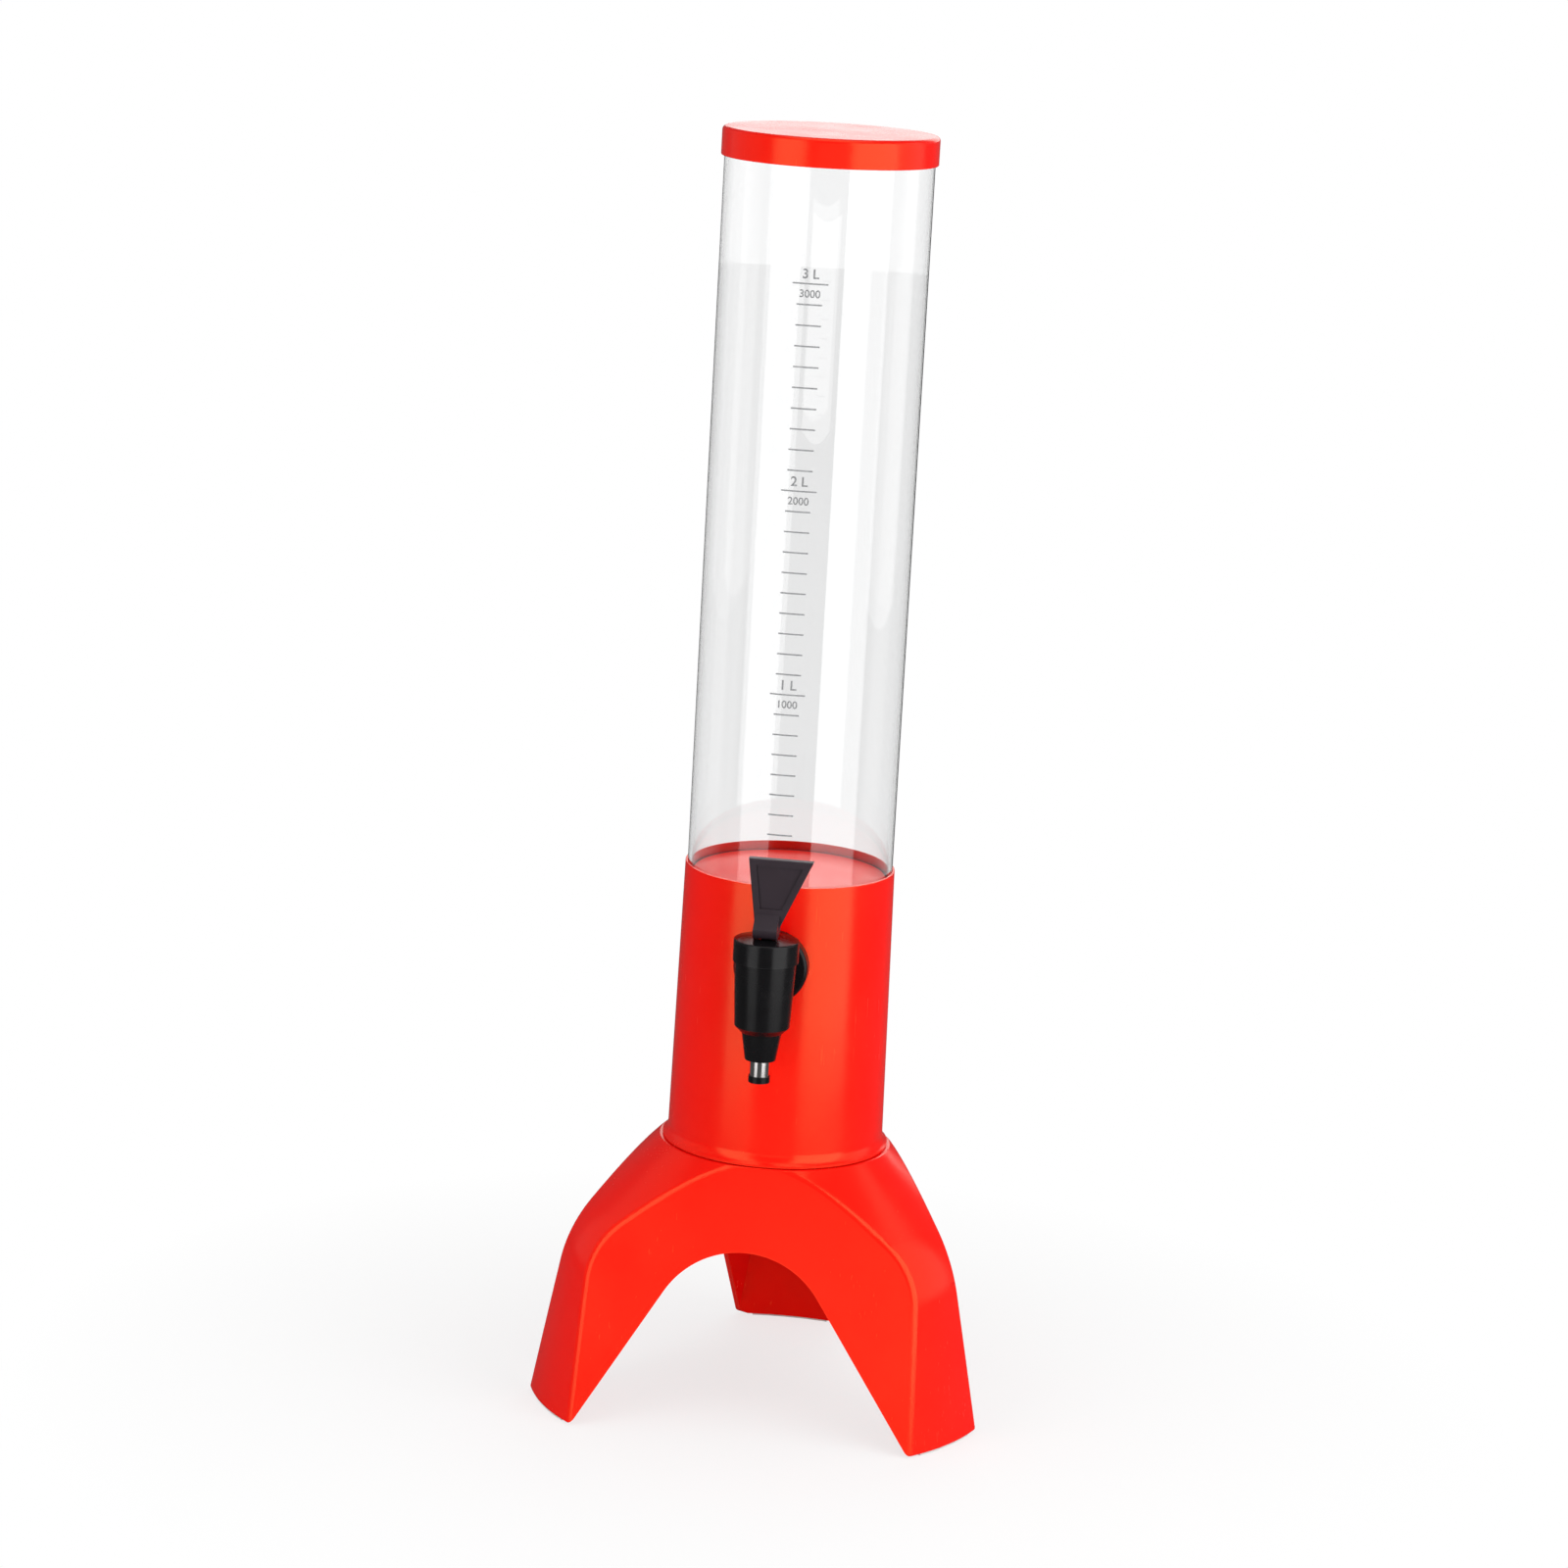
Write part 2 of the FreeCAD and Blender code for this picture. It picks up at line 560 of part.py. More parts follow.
def make_base():
    form = new_body("base_form")
    revolve(form, "bell", [(0, d.pad_thick), (0, d.base_height)]
            + base_outline(as_size(0), d.base_height, d.pad_thick))
    panel_cut(form, "panel", as_size(0))
    lean = math.atan2((d.panel_foot - panel_top).value, d.base_height.value)

    def on_panel(edge):
        point = edge_middle(edge)
        wall = d.panel_foot.value - math.tan(lean) * point.z
        upright = d.pad_thick.value + 0.1 < point.z < d.base_height.value - 0.1
        near = [abs(point.x * math.sin(a) - point.y * math.cos(a) - wall) < 0.01
                for a in (math.radians(n * 360 / LEGS) for n in range(LEGS))]
        return upright and any(near)

    slope = (d.panel_foot - panel_top) / d.base_height
    panel_round = least_of(d.base_edge_round, (d.foot_radius - rim_radius) * slope * EDGE_SHARE)
    round_edges(form, "panel_round", edge_numbers(form, on_panel), panel_round)

    def on_rim(edge):
        flat = abs(edge.BoundBox.ZMin - d.base_height.value) < 0.01
        return flat and abs(edge.BoundBox.ZMax - d.base_height.value) < 0.01

    round_edges(form, "rim_round", edge_numbers(form, on_rim), d.rim_edge_round)

    def on_foot(edge):
        low = d.pad_thick.value
        return abs(edge.BoundBox.ZMin - low) < 0.01 and abs(edge.BoundBox.ZMax - low) < 0.01

    round_edges(form, "foot_round", edge_numbers(form, on_foot), d.foot_edge_round)

    arch_sketch = new_sketch(form, "arch_side", "XZ_Plane")
    left = arch_side(-1, d.arch_left_deg)
    right = arch_side(1, d.arch_right_deg)
    add_outline(arch_sketch, [
        (left[0][0], as_size(-CUT_MARGIN)),
        (right[0][0], as_size(-CUT_MARGIN)),
        right[0],
        (*right[1], -d.arch_foot_round),
        right[2],
        (-d.arch_offset, arch_apex, d.arch_round),
        (*left[2], d.arch_round),
        left[1],
        (*left[0], -d.arch_foot_round),
    ])
    arch = extrude(form, "arch", arch_sketch, cut=True, backwards=True)
    repeat_round(form, "arches", [arch], LEGS)

    revolve(form, "socket", [
        (as_size(0), socket_floor),
        (socket_radius, socket_floor),
        (socket_radius, d.base_height + CUT_MARGIN),
        (as_size(0), d.base_height + CUT_MARGIN),
    ], cut=True)
    hole_sketch = new_sketch(form, "screw_hole_outline", "XY_Plane")
    add_circle(hole_sketch, as_size(0), base_screw_circle / 2, (d.base_screw_dia + d.screw_slack) / 2)
    hole = extrude(form, "screw_hole", hole_sketch, cut=True, backwards=True)
    repeat_round(form, "screw_holes", [hole], LEGS)

    hollow = new_body("base_hollow")
    web_bottom = socket_floor - d.socket_floor_thick
    ceiling = d.base_height - d.rim_depth
    inner = base_outline(d.base_wall, ceiling, -CUT_MARGIN)
    thicker = (d.foot_wall - d.base_wall) / cos_of(d.foot_slope_deg)
    revolve(hollow, "inside", [
        (as_size(0), as_size(-CUT_MARGIN)),
        (as_size(0), web_bottom),
        (socket_radius + d.base_wall, web_bottom),
        (socket_radius + d.base_wall, ceiling),
        inner[0],
        inner[1],
        inner[2],
        (inner[3][0] - thicker, inner[3][1]),
    ])
    panel_cut(hollow, "inner_panel", d.base_wall)

    base = doc.addObject("Part::Cut", "tripod_base")
    base.Base = form
    base.Tool = hollow
    base.Refine = True
    doc.recompute()
    return [base]


def make_foot_pads():
    """Rubber strips glued under the three soles."""
    body = new_body("foot_pads")
    sole = d.foot_radius - d.pad_thick * tan_of(d.foot_slope_deg) - d.foot_edge_round
    outer = sole - d.pad_inset
    inner = outer - d.pad_width
    pad = revolve(body, "pad", [
        (inner, as_size(0)),
        (outer, as_size(0)),
        (outer, d.pad_thick),
        (inner, d.pad_thick),
    ], angle=d.pad_arc_deg, plane="YZ_Plane")
    repeat_round(body, "pads", [pad], LEGS)
    return [body]


def make_screws(label, circle, diameter, head_diameter, head_foot, head_top, end):
    """Round-headed screws, heads down, on a circle: one behind the axis and copies every 120 degrees."""
    body = new_body(label)
    head_sketch = new_sketch(body, "head_outline", "XY_Plane", head_foot)
    add_circle(head_sketch, as_size(0), circle / 2, head_diameter / 2)
    head = extrude(body, "head", head_sketch, head_top - head_foot)
    shank_sketch = new_sketch(body, "shank_outline", "XY_Plane", head_foot)
    add_circle(shank_sketch, as_size(0), circle / 2, diameter / 2)
    shank = extrude(body, "shank", shank_sketch, end - head_foot)
    repeat_round(body, "screws", [head, shank], LEGS)
    return body


def make_base_screws():
    web_bottom = socket_floor - d.socket_floor_thick
    return [make_screws("base_screws", base_screw_circle, d.base_screw_dia, d.base_screw_head,
                        web_bottom - d.base_screw_dia * HEAD_HEIGHT, web_bottom,
                        socket_floor + d.housing_wall + d.boss_height - d.base_screw_dia / 2)]


# Housing

ledge_radius = plug_radius - d.floor_plug_wall - d.ledge_lap
floor_screw_circle = (plug_radius - d.floor_plug_wall / 2) * 2
floor_screw_head_top = ledge_top - d.floor_screw_seat
floor_screw_head_foot = floor_screw_head_top - d.floor_screw_dia * HEAD_HEIGHT


def make_housing():
    body = new_body("housing")
    floor_top = socket_floor + d.housing_wall
    cone_foot = ledge_top - d.ledge_thick - d.ledge_cone
    curve = (d.collar_step * d.collar_step + d.collar_rise * d.collar_rise) / (d.collar_step * 2)
    access = washer_radius
    revolve(body, "shell", [
        (access, socket_floor),
        (housing_foot_radius, socket_floor),
        (housing_foot_radius, collar_foot),
        (collar_radius, collar_foot),
        (collar_radius, collar_foot + d.collar_edge),
        (housing_foot_radius, collar_top, -curve),
        (housing_top_radius + d.lip_round * housing_taper, housing_top - d.lip_round),
        (housing_top_radius - d.lip_round, housing_top, d.lip_round),
        (tube_pocket, housing_top),
        (tube_pocket, ledge_top),
        (ledge_radius, ledge_top),
        (ledge_radius, ledge_top - d.ledge_thick),
        (housing_inside(cone_foot), cone_foot),
        (housing_inside(floor_top), floor_top),
        (access, floor_top),
    ])
    boss_sketch = new_sketch(body, "boss_outline", "XY_Plane", floor_top)
    add_circle(boss_sketch, as_size(0), base_screw_circle / 2, d.boss_dia / 2)
    boss = extrude(body, "boss", boss_sketch, d.boss_height)
    repeat_round(body, "bosses", [boss], LEGS)
    pilot_sketch = new_sketch(body, "pilot_outline", "XY_Plane", socket_floor)
    add_circle(pilot_sketch, as_size(0), base_screw_circle / 2, (d.base_screw_dia + d.screw_bite) / 2)
    pilot = extrude(body, "pilot", pilot_sketch, d.housing_wall + d.boss_height - d.base_screw_dia / 4,
                    cut=True, backwards=True)
    repeat_round(body, "pilots", [pilot], LEGS)

    screw_sketch = new_sketch(body, "ledge_hole_outline", "XY_Plane", ledge_top)
    add_circle(screw_sketch, as_size(0), floor_screw_circle / 2, (d.floor_screw_dia + d.screw_slack) / 2)
    screw_hole = extrude(body, "ledge_hole", screw_sketch, d.ledge_thick + d.ledge_cone, cut=True)
    repeat_round(body, "ledge_holes", [screw_hole], LEGS)
    bore_sketch = new_sketch(body, "counterbore_outline", "XY_Plane", floor_screw_head_top)
    add_circle(bore_sketch, as_size(0), floor_screw_circle / 2, (d.floor_screw_head + d.screw_slack) / 2)
    counterbore = extrude(body, "counterbore", bore_sketch, d.ledge_thick + d.ledge_cone, cut=True)
    repeat_round(body, "counterbores", [counterbore], LEGS)

    tap_sketch = new_sketch(body, "tap_hole_outline", "XZ_Plane")
    add_circle(tap_sketch, as_size(0), tap_height, (d.shank_dia + d.shank_slack) / 2)
    extrude(body, "tap_hole", tap_sketch, cut=True, backwards=True)
    return [body]


# Tank

def make_tank_floor():
    body = new_body("tank_floor")
    flange_top = ledge_top + d.floor_flange
    underside = floor_level - d.floor_plate
    revolve(body, "disc", [
        (as_size(0), floor_level),
        (as_size(0), underside),
        (plug_radius - d.floor_plug_wall, underside),
        (plug_radius - d.floor_plug_wall, ledge_top),
        (tube_radius, ledge_top),
        (tube_radius, flange_top),
        (plug_radius, flange_top),
        (plug_radius, floor_level),
    ])
    spigot_sketch = new_sketch(body, "spigot_outline", "XY_Plane", underside)
    add_circle(spigot_sketch, as_size(0), -outlet_reach, spigot_radius)
    extrude(body, "spigot", spigot_sketch, d.spigot_length, backwards=True)
    outlet_sketch = new_sketch(body, "outlet_outline", "XY_Plane", floor_level)
    add_circle(outlet_sketch, as_size(0), -outlet_reach, d.waterway_dia / 2)
    extrude(body, "outlet", outlet_sketch, cut=True)
    pilot_sketch = new_sketch(body, "pilot_outline", "XY_Plane", ledge_top)
    add_circle(pilot_sketch, as_size(0), floor_screw_circle / 2, (d.floor_screw_dia + d.screw_bite) / 2)
    pilot_depth = d.floor_screw_reach + d.screw_slack
    pilot = extrude(body, "pilot", pilot_sketch, pilot_depth, cut=True, backwards=True)
    repeat_round(body, "pilots", [pilot], LEGS)
    return [body]


def make_floor_screws():
    return [make_screws("floor_screws", floor_screw_circle, d.floor_screw_dia, d.floor_screw_head,
                        floor_screw_head_foot, floor_screw_head_top, ledge_top + d.floor_screw_reach)]


def ring(label, inner, outer, foot, top, place=None):
    """A plain ring about the vertical axis."""
    body = new_body(label, place)
    revolve(body, "ring", [(inner, foot), (outer, foot), (outer, top), (inner, top)])
    return body


def make_tube():
    """The clear tube and its gasket, whose lip stands between the tank floor's plug and the tube."""
    gasket = new_body("tube_gasket")
    inner = plug_radius + d.seal_slack
    lip = bore_radius - d.seal_slack
    revolve(gasket, "section", [
        (inner, ledge_top + d.floor_flange),
        (tube_radius, ledge_top + d.floor_flange),
        (tube_radius, tube_foot),
        (lip, tube_foot),
        (lip, floor_level),
        (inner, floor_level),
    ])
    tube = ring("tank_tube", bore_radius, tube_radius, tube_foot, tube_top)
    return [gasket, tube]


def make_level_scale():
    """Printed marks on the front of the tube, one every tenth of a litre, wider at whole litres."""
    body = new_body("level_scale")
    inner = tube_radius + d.ink_gap
    outer = inner + d.ink_thick
    degrees_per_mm = 180 / (math.pi * outer)

    def mark(name, litres, width):
        foot = floor_level + litres * litre_height - d.mark_line / 2
        corners = [(-inner, foot), (-inner, foot + d.mark_line), (-outer, foot + d.mark_line), (-outer, foot)]
        return revolve(body, name, corners, angle=width * degrees_per_mm, plane="YZ_Plane")

    def stack(name, feature, count, spacing):
        pattern = body.newObject("PartDesign::LinearPattern", name)
        pattern.Originals = [feature]
        pattern.Direction = (origin_feature(body, "Z_Axis"), [""])
        pattern.Mode = "Spacing"
        pattern.Offset = spacing.value
        pattern.setExpression("Offset", spacing.text)
        pattern.Occurrences = count
        body.Tip = pattern
        doc.recompute()

    visible = ((d.overall_height - d.lid_skirt - floor_level) / litre_height).value
    steps = int((visible - d.first_mark_litre.value) / d.mark_pitch_litre.value) + 1
    small = mark("mark", d.first_mark_litre, d.mark_width)
    stack("marks", small, int(min(d.mark_count.value, steps)), d.mark_pitch_litre * litre_height)
    whole = mark("litre_mark", as_size(1), d.litre_mark_width)
    stack("litre_marks", whole, min(WHOLE_LITRES, int(visible)), litre_height)
    return [body]


def make_lid():
    body = new_body("lid")
    skirt_inside = tube_radius + d.lid_gap
    radius = skirt_inside + d.lid_wall
    foot = d.overall_height - d.lid_skirt
    plug = bore_radius - d.lid_plug_gap
    plug_foot = lid_underside - d.lid_plug_depth
    groove_top = lid_underside - d.lid_seal_drop
    groove_foot = groove_top - d.lid_seal_height
    groove = plug - d.lid_seal_depth
    revolve(body, "cap", [
        (as_size(0), d.overall_height),
        (as_size(0), lid_underside),
        (plug - d.lid_plug_wall, lid_underside),
        (plug - d.lid_plug_wall, plug_foot),
        (plug, plug_foot),
        (plug, groove_foot),
        (groove, groove_foot),
        (groove, groove_top),
        (plug, groove_top),
        (plug, lid_underside),
        (skirt_inside, lid_underside),
        (skirt_inside, foot),
        (radius - d.lid_foot_round, foot),
        (radius, foot + d.lid_foot_round, d.lid_foot_round),
        (radius, d.overall_height - d.lid_edge_round),
        (radius - d.lid_edge_round, d.overall_height, d.lid_edge_round),
    ])
    seal = new_body("lid_seal")
    low = groove_foot + d.seal_slack
    high = groove_top - d.seal_slack
    bulge = (high - low) * SEAL_BULGE
    revolve(seal, "seal", [
        (groove + d.seal_slack, low),
        (plug, low),
        (plug, high, bulge),
        (groove + d.seal_slack, high),
    ])
    return [body, seal]


# Waterway between tank and tap

hose_low_end = shank_end - d.hose_gap
hose_bend_start = outlet_reach + d.hose_bend
hose_top_end = floor_level - d.floor_plate - d.hose_gap


def make_drain_hose():
    """An elbow hose: back from the shank, round a quarter turn, and up to the tank outlet."""
    body = new_body("drain_hose")
    path = new_sketch(body, "hose_path", "YZ_Plane")
    low = (-hose_low_end, tap_height)
    bend_in = (-hose_bend_start, tap_height)
    bend_out = (-outlet_reach, tap_height + d.hose_bend)
    high = (-outlet_reach, hose_top_end)
    spots = [Vector(p[0].value, p[1].value, 0) for p in (low, bend_in, bend_out, high)]
    run = path.addGeometry(Part.LineSegment(spots[0], spots[1]))
    arc = path.addGeometry(arc_between(spots[1], spots[2], d.hose_bend.value))
    rise = path.addGeometry(Part.LineSegment(spots[2], spots[3]))
    path.addConstraint(Sketcher.Constraint("Coincident", run, 2, arc, 1))
    path.addConstraint(Sketcher.Constraint("Coincident", arc, 2, rise, 1))
    radius = path.addConstraint(Sketcher.Constraint("Radius", arc, d.hose_bend.value))
    path.setExpression(f"Constraints[{radius}]", d.hose_bend.text)
    pin_point(path, run, 1, *low)
    pin_point(path, run, 2, *bend_in)
    pin_point(path, arc, 2, *bend_out)
    pin_point(path, rise, 2, *high)
    section = new_sketch(body, "hose_section", "XZ_Plane", hose_low_end)
    add_circle(section, as_size(0), tap_height, hose_outer_radius)
    add_circle(section, as_size(0), tap_height, hose_bore_radius)
    hose = body.newObject("PartDesign::AdditivePipe", "hose")
    hose.Profile = section
    hose.Spine = path
    doc.recompute()
    return [body]


def make_hose_clips():
    """Band clips round the two ends of the hose."""
    body = new_body("hose_clips")
    inner = hose_outer_radius
    outer = inner + d.clip_thick
    low = new_sketch(body, "low_outline", "XZ_Plane", hose_low_end - d.clip_inset)
    add_circle(low, as_size(0), tap_height, outer)
    add_circle(low, as_size(0), tap_height, inner)
    extrude(body, "low_band", low, d.clip_width, backwards=True)
    high = new_sketch(body, "high_outline", "XY_Plane", hose_top_end - d.clip_inset)
    add_circle(high, as_size(0), -outlet_reach, outer)
    add_circle(high, as_size(0), -outlet_reach, inner)
    extrude(body, "high_band", high, d.clip_width, backwards=True)
    return [body]


# Fixing of the tap in the housing wall

shank_hole_radius = (d.shank_dia + d.shank_slack) / 2
saddle_low = tap_height - d.flange_dia
saddle_high = tap_height + d.flange_dia


def upright_disc(body, name, radius, front, depth):
    """A disc with its axis along Y, from front towards the tower's axis."""
    sketch = new_sketch(body, name + "_outline", "XZ_Plane", front)
    add_circle(sketch, as_size(0), tap_height, radius)
    extrude(body, name, sketch, depth, backwards=True)


def shank_hole(body, radius):
    sketch = new_sketch(body, "shank_hole_outline", "XZ_Plane")
    add_circle(sketch, as_size(0), tap_height, radius)
    extrude(body, "shank_hole", sketch, cut=True, backwards=True)


def cut_to_wall(body, name, inner, outer):
    """Remove what lies between two radii, each a function of height, where the tap passes the wall."""
    revolve(body, name, [
        (inner(saddle_low), saddle_low),
        (outer(saddle_low), saddle_low),
        (outer(saddle_high), saddle_high),
        (inner(saddle_high), saddle_high),
    ], cut=True)


def make_tap_fixings():
    depth = flange_front - washer_face

    def centre(height):
        return as_size(0)

    def beyond(height):
        return tap_reach + d.flange_dia

    def gasket_face(height):
        return housing_outside(height) + d.flange_gasket

    flange = new_body("tap_flange")
    upright_disc(flange, "disc", d.flange_dia / 2, flange_front, depth)

    def front_edge(edge):
        return abs(edge.BoundBox.YMin + flange_front.value) < 0.01 and abs(edge.BoundBox.YLength) < 0.01

    round_edges(flange, "front_round", edge_numbers(flange, front_edge), d.flange_round)
    cut_to_wall(flange, "saddle", centre, gasket_face)
    shank_hole(flange, shank_hole_radius)

    gasket = new_body("flange_gasket")
    upright_disc(gasket, "disc", d.flange_dia / 2 - d.flange_gasket, flange_front, depth)
    cut_to_wall(gasket, "saddle", centre, housing_outside)
    cut_to_wall(gasket, "face", gasket_face, beyond)
    shank_hole(gasket, shank_hole_radius)

    washer = new_body("inner_washer")
    upright_disc(washer, "disc", washer_radius, flange_front, depth)
    cut_to_wall(washer, "saddle", housing_inside, beyond)
    shank_hole(washer, shank_hole_radius)

    nut = new_body("lock_nut")
    sketch = new_sketch(nut, "hexagon", "XZ_Plane", washer_face)
    corner = nut_apothem / math.cos(math.pi / 6)
    corners = [(corner * math.cos(math.radians(a)), tap_height + corner * math.sin(math.radians(a)))
               for a in range(30, 390, 60)]
    add_outline(sketch, corners)
    extrude(nut, "nut", sketch, d.nut_thick, backwards=True)
    shank_hole(nut, d.shank_dia / 2 + d.thread_gap)
    return [flange, gasket, washer, nut]


# Tap: its pieces stand on the tap's own upright axis, with heights from the shank's axis

TAP_PLACE = (as_size(0), -tap_reach, tap_height)


def make_tap_body():
    body = new_body("tap_body", TAP_PLACE)
    axis = as_size(0)
    thread_top = body_rise + d.thread_length
    revolve(body, "outside", [
        (axis, -d.neck_end),
        (nozzle_radius, -d.neck_end),
        (nozzle_radius + d.nozzle_taper, -(d.body_drop + d.body_chamfer)),
        (body_foot_radius - d.body_chamfer, -(d.body_drop + d.body_chamfer)),
        (body_foot_radius, -d.body_drop),
        (body_top_radius, body_rise),
        (thread_radius, body_rise),
        (thread_radius, thread_top),
        (axis, thread_top),
    ])
    for name, radius, end in (
        ("collar", shank_collar_radius, flange_front),
        ("shank", d.shank_dia / 2, shank_end),
        ("spigot", spigot_radius, shank_end - d.spigot_length),
    ):
        sketch = new_sketch(body, name + "_outline", "XZ_Plane")
        add_circle(sketch, axis, axis, radius)
        extrude(body, name, sketch, tap_reach - end, backwards=True)
    socket_top = -(d.neck_end - d.spout_socket)
    revolve(body, "chamber", [
        (axis, -(d.neck_end + CUT_MARGIN)),
        (d.spout_dia / 2 + d.spout_slack, -(d.neck_end + CUT_MARGIN)),
        (d.spout_dia / 2 + d.spout_slack, socket_top),
        (d.outlet_dia / 2, socket_top),
        (d.outlet_dia / 2, -d.seat_drop),
        (d.chamber_dia / 2, -d.seat_drop),
        (d.chamber_dia / 2, thread_top + CUT_MARGIN),
        (axis, thread_top + CUT_MARGIN),
    ], cut=True)
    bore = new_sketch(body, "waterway_outline", "XZ_Plane")
    add_circle(bore, axis, axis, d.waterway_dia / 2)
    extrude(body, "waterway", bore, cut=True)
    return [body]


def make_bonnet():
    body = new_body("tap_bonnet", TAP_PLACE)
    hole = d.stem_dia / 2 + d.stem_slack
    pocket = hole + d.ring_section + d.ring_room
    inside = thread_radius + d.thread_gap
    foot = body_rise + d.bonnet_gap
    ring_top = bonnet_ceiling + d.ring_section + d.ring_room
    edge_top = d.bonnet_top - d.bonnet_fall
    revolve(body, "cap", [
        (inside, foot),
        (bonnet_radius, foot),
        (bonnet_radius, edge_top - d.bonnet_round),
        (bonnet_radius - d.bonnet_round, edge_top, d.bonnet_round),
        (d.bonnet_flat_dia / 2, d.bonnet_top),
        (hole, d.bonnet_top),
        (hole, ring_top),
        (pocket, ring_top),
        (pocket, bonnet_ceiling),
        (inside, bonnet_ceiling),
    ])

    stem_ring = new_body("stem_ring", TAP_PLACE)
    sketch = new_sketch(stem_ring, "section", "XZ_Plane")
    add_circle(sketch, hole + d.ring_room / 2 + d.ring_section / 2,
               bonnet_ceiling + d.ring_room / 2 + d.ring_section / 2, d.ring_section / 2)
    turned = stem_ring.newObject("PartDesign::Revolution", "ring")
    turned.Profile = sketch
    turned.ReferenceAxis = (sketch, ["V_Axis"])
    turned.Angle = 360
    doc.recompute()

    washer = ring("spring_washer", hole, spring_outside + d.spring_washer_lap,
                  bonnet_ceiling - d.spring_washer_thick, bonnet_ceiling, TAP_PLACE)
    return [body, stem_ring, washer]


def make_stem():
    axis = as_size(0)
    collar_foot_z = -(d.stem_collar_drop + d.stem_collar_thick)
    barb_end = -(d.seat_drop - d.seat_gap - d.seal_base)
    stem_collar = spring_outside + d.stem_collar_lap
    stem = new_body("valve_stem", TAP_PLACE)
    revolve(stem, "rod", [
        (axis, barb_end),
        (d.stem_barb_dia / 2, barb_end),
        (d.stem_barb_dia / 2, collar_foot_z),
        (stem_collar, collar_foot_z),
        (stem_collar, -d.stem_collar_drop),
        (d.stem_dia / 2, -d.stem_collar_drop),
        (d.stem_dia / 2, pin_height + d.stem_top_round),
        (axis, pin_height + d.stem_top_round),
    ])
    eye = new_sketch(stem, "eye_outline", "YZ_Plane")
    add_circle(eye, axis, pin_height, d.pin_dia / 2 + d.pin_slack)
    extrude(stem, "eye", eye, cut=True, both=True)

    seal = new_body("valve_seal", TAP_PLACE)
    low = -(d.seat_drop - d.seat_gap)
    lip = d.seal_base / 2
    revolve(seal, "seal", [
        (axis, low),
        (seal_radius - lip, low),
        (seal_radius, low + lip),
        (seal_radius, collar_foot_z - lip),
        (seal_radius - lip, collar_foot_z),
        (d.stem_barb_dia / 2, collar_foot_z),
        (d.stem_barb_dia / 2, barb_end),
        (axis, barb_end),
    ])
    return [stem, seal]


def biarc(start, start_way, end, end_way):
    """Two arcs that leave start along start_way and reach end along end_way, smooth where they meet."""
    gap = end - start
    ways = start_way + end_way
    a = ways.dot(ways) - 4
    b = -2 * gap.dot(ways)
    c = gap.dot(gap)
    reach = (-b - math.sqrt(b * b - 4 * a * c)) / (2 * a)
    if reach < 0:
        reach = (-b + math.sqrt(b * b - 4 * a * c)) / (2 * a)
    first_apex = start + start_way * reach
    last_apex = end - end_way * reach
    joint = (first_apex + last_apex) / 2
    return [arc_at(start, first_apex, joint), arc_at(joint, last_apex, end)]


def arc_at(start, apex, end):
    """The arc that touches start-apex and apex-end."""
    middle = (start + end) / 2
    inwards = (middle - apex).normalize()
    leg = (apex - start).Length
    half = (start - apex).getAngle(inwards)
    radius = leg * math.tan(half)
    centre = apex + inwards * (leg / math.cos(half))
    return Part.Arc(start, centre - inwards * radius, end).toShape()


def make_spring():
    """A wound spring: one wire along a helix made of biarcs, a quarter turn each."""
    radius = spring_radius.value
    wire = d.spring_wire.value
    turns = int(d.spring_turns.value)
    play = wire * SPRING_PLAY
    low = -d.stem_collar_drop.value + wire / 2 + play
    high = bonnet_ceiling.value - d.spring_washer_thick.value - wire / 2 - play
    quarters = turns * 4
    rise = (high - low) / quarters
    slope = rise / (radius * math.pi / 2)

    def spot(quarter):
        angle = quarter * math.pi / 2
        return Vector(radius * math.cos(angle), radius * math.sin(angle), low + quarter * rise)

    def way(quarter):
        angle = quarter * math.pi / 2
        return Vector(-math.sin(angle), math.cos(angle), slope).normalize()

    edges = []
    for quarter in range(quarters):
        edges += biarc(spot(quarter), way(quarter), spot(quarter + 1), way(quarter + 1))
    path = Part.Wire(edges)
    section = Part.Wire(Part.Circle(spot(0), way(0), wire / 2).toShape())
    shell = Part.BRepOffsetAPI.MakePipeShell(path)
    shell.add(section)
    shell.build()
    shell.makeSolid()
    print(f"spring: {turns} turns, gap between turns {rise * 4 - wire:.2f} mm")
    spring = doc.addObject("Part::Feature", "valve_spring")
    spring.Shape = shell.shape()
    spring.Placement = Placement(Vector(*[p.value for p in TAP_PLACE]), Rotation())
    return [spring]


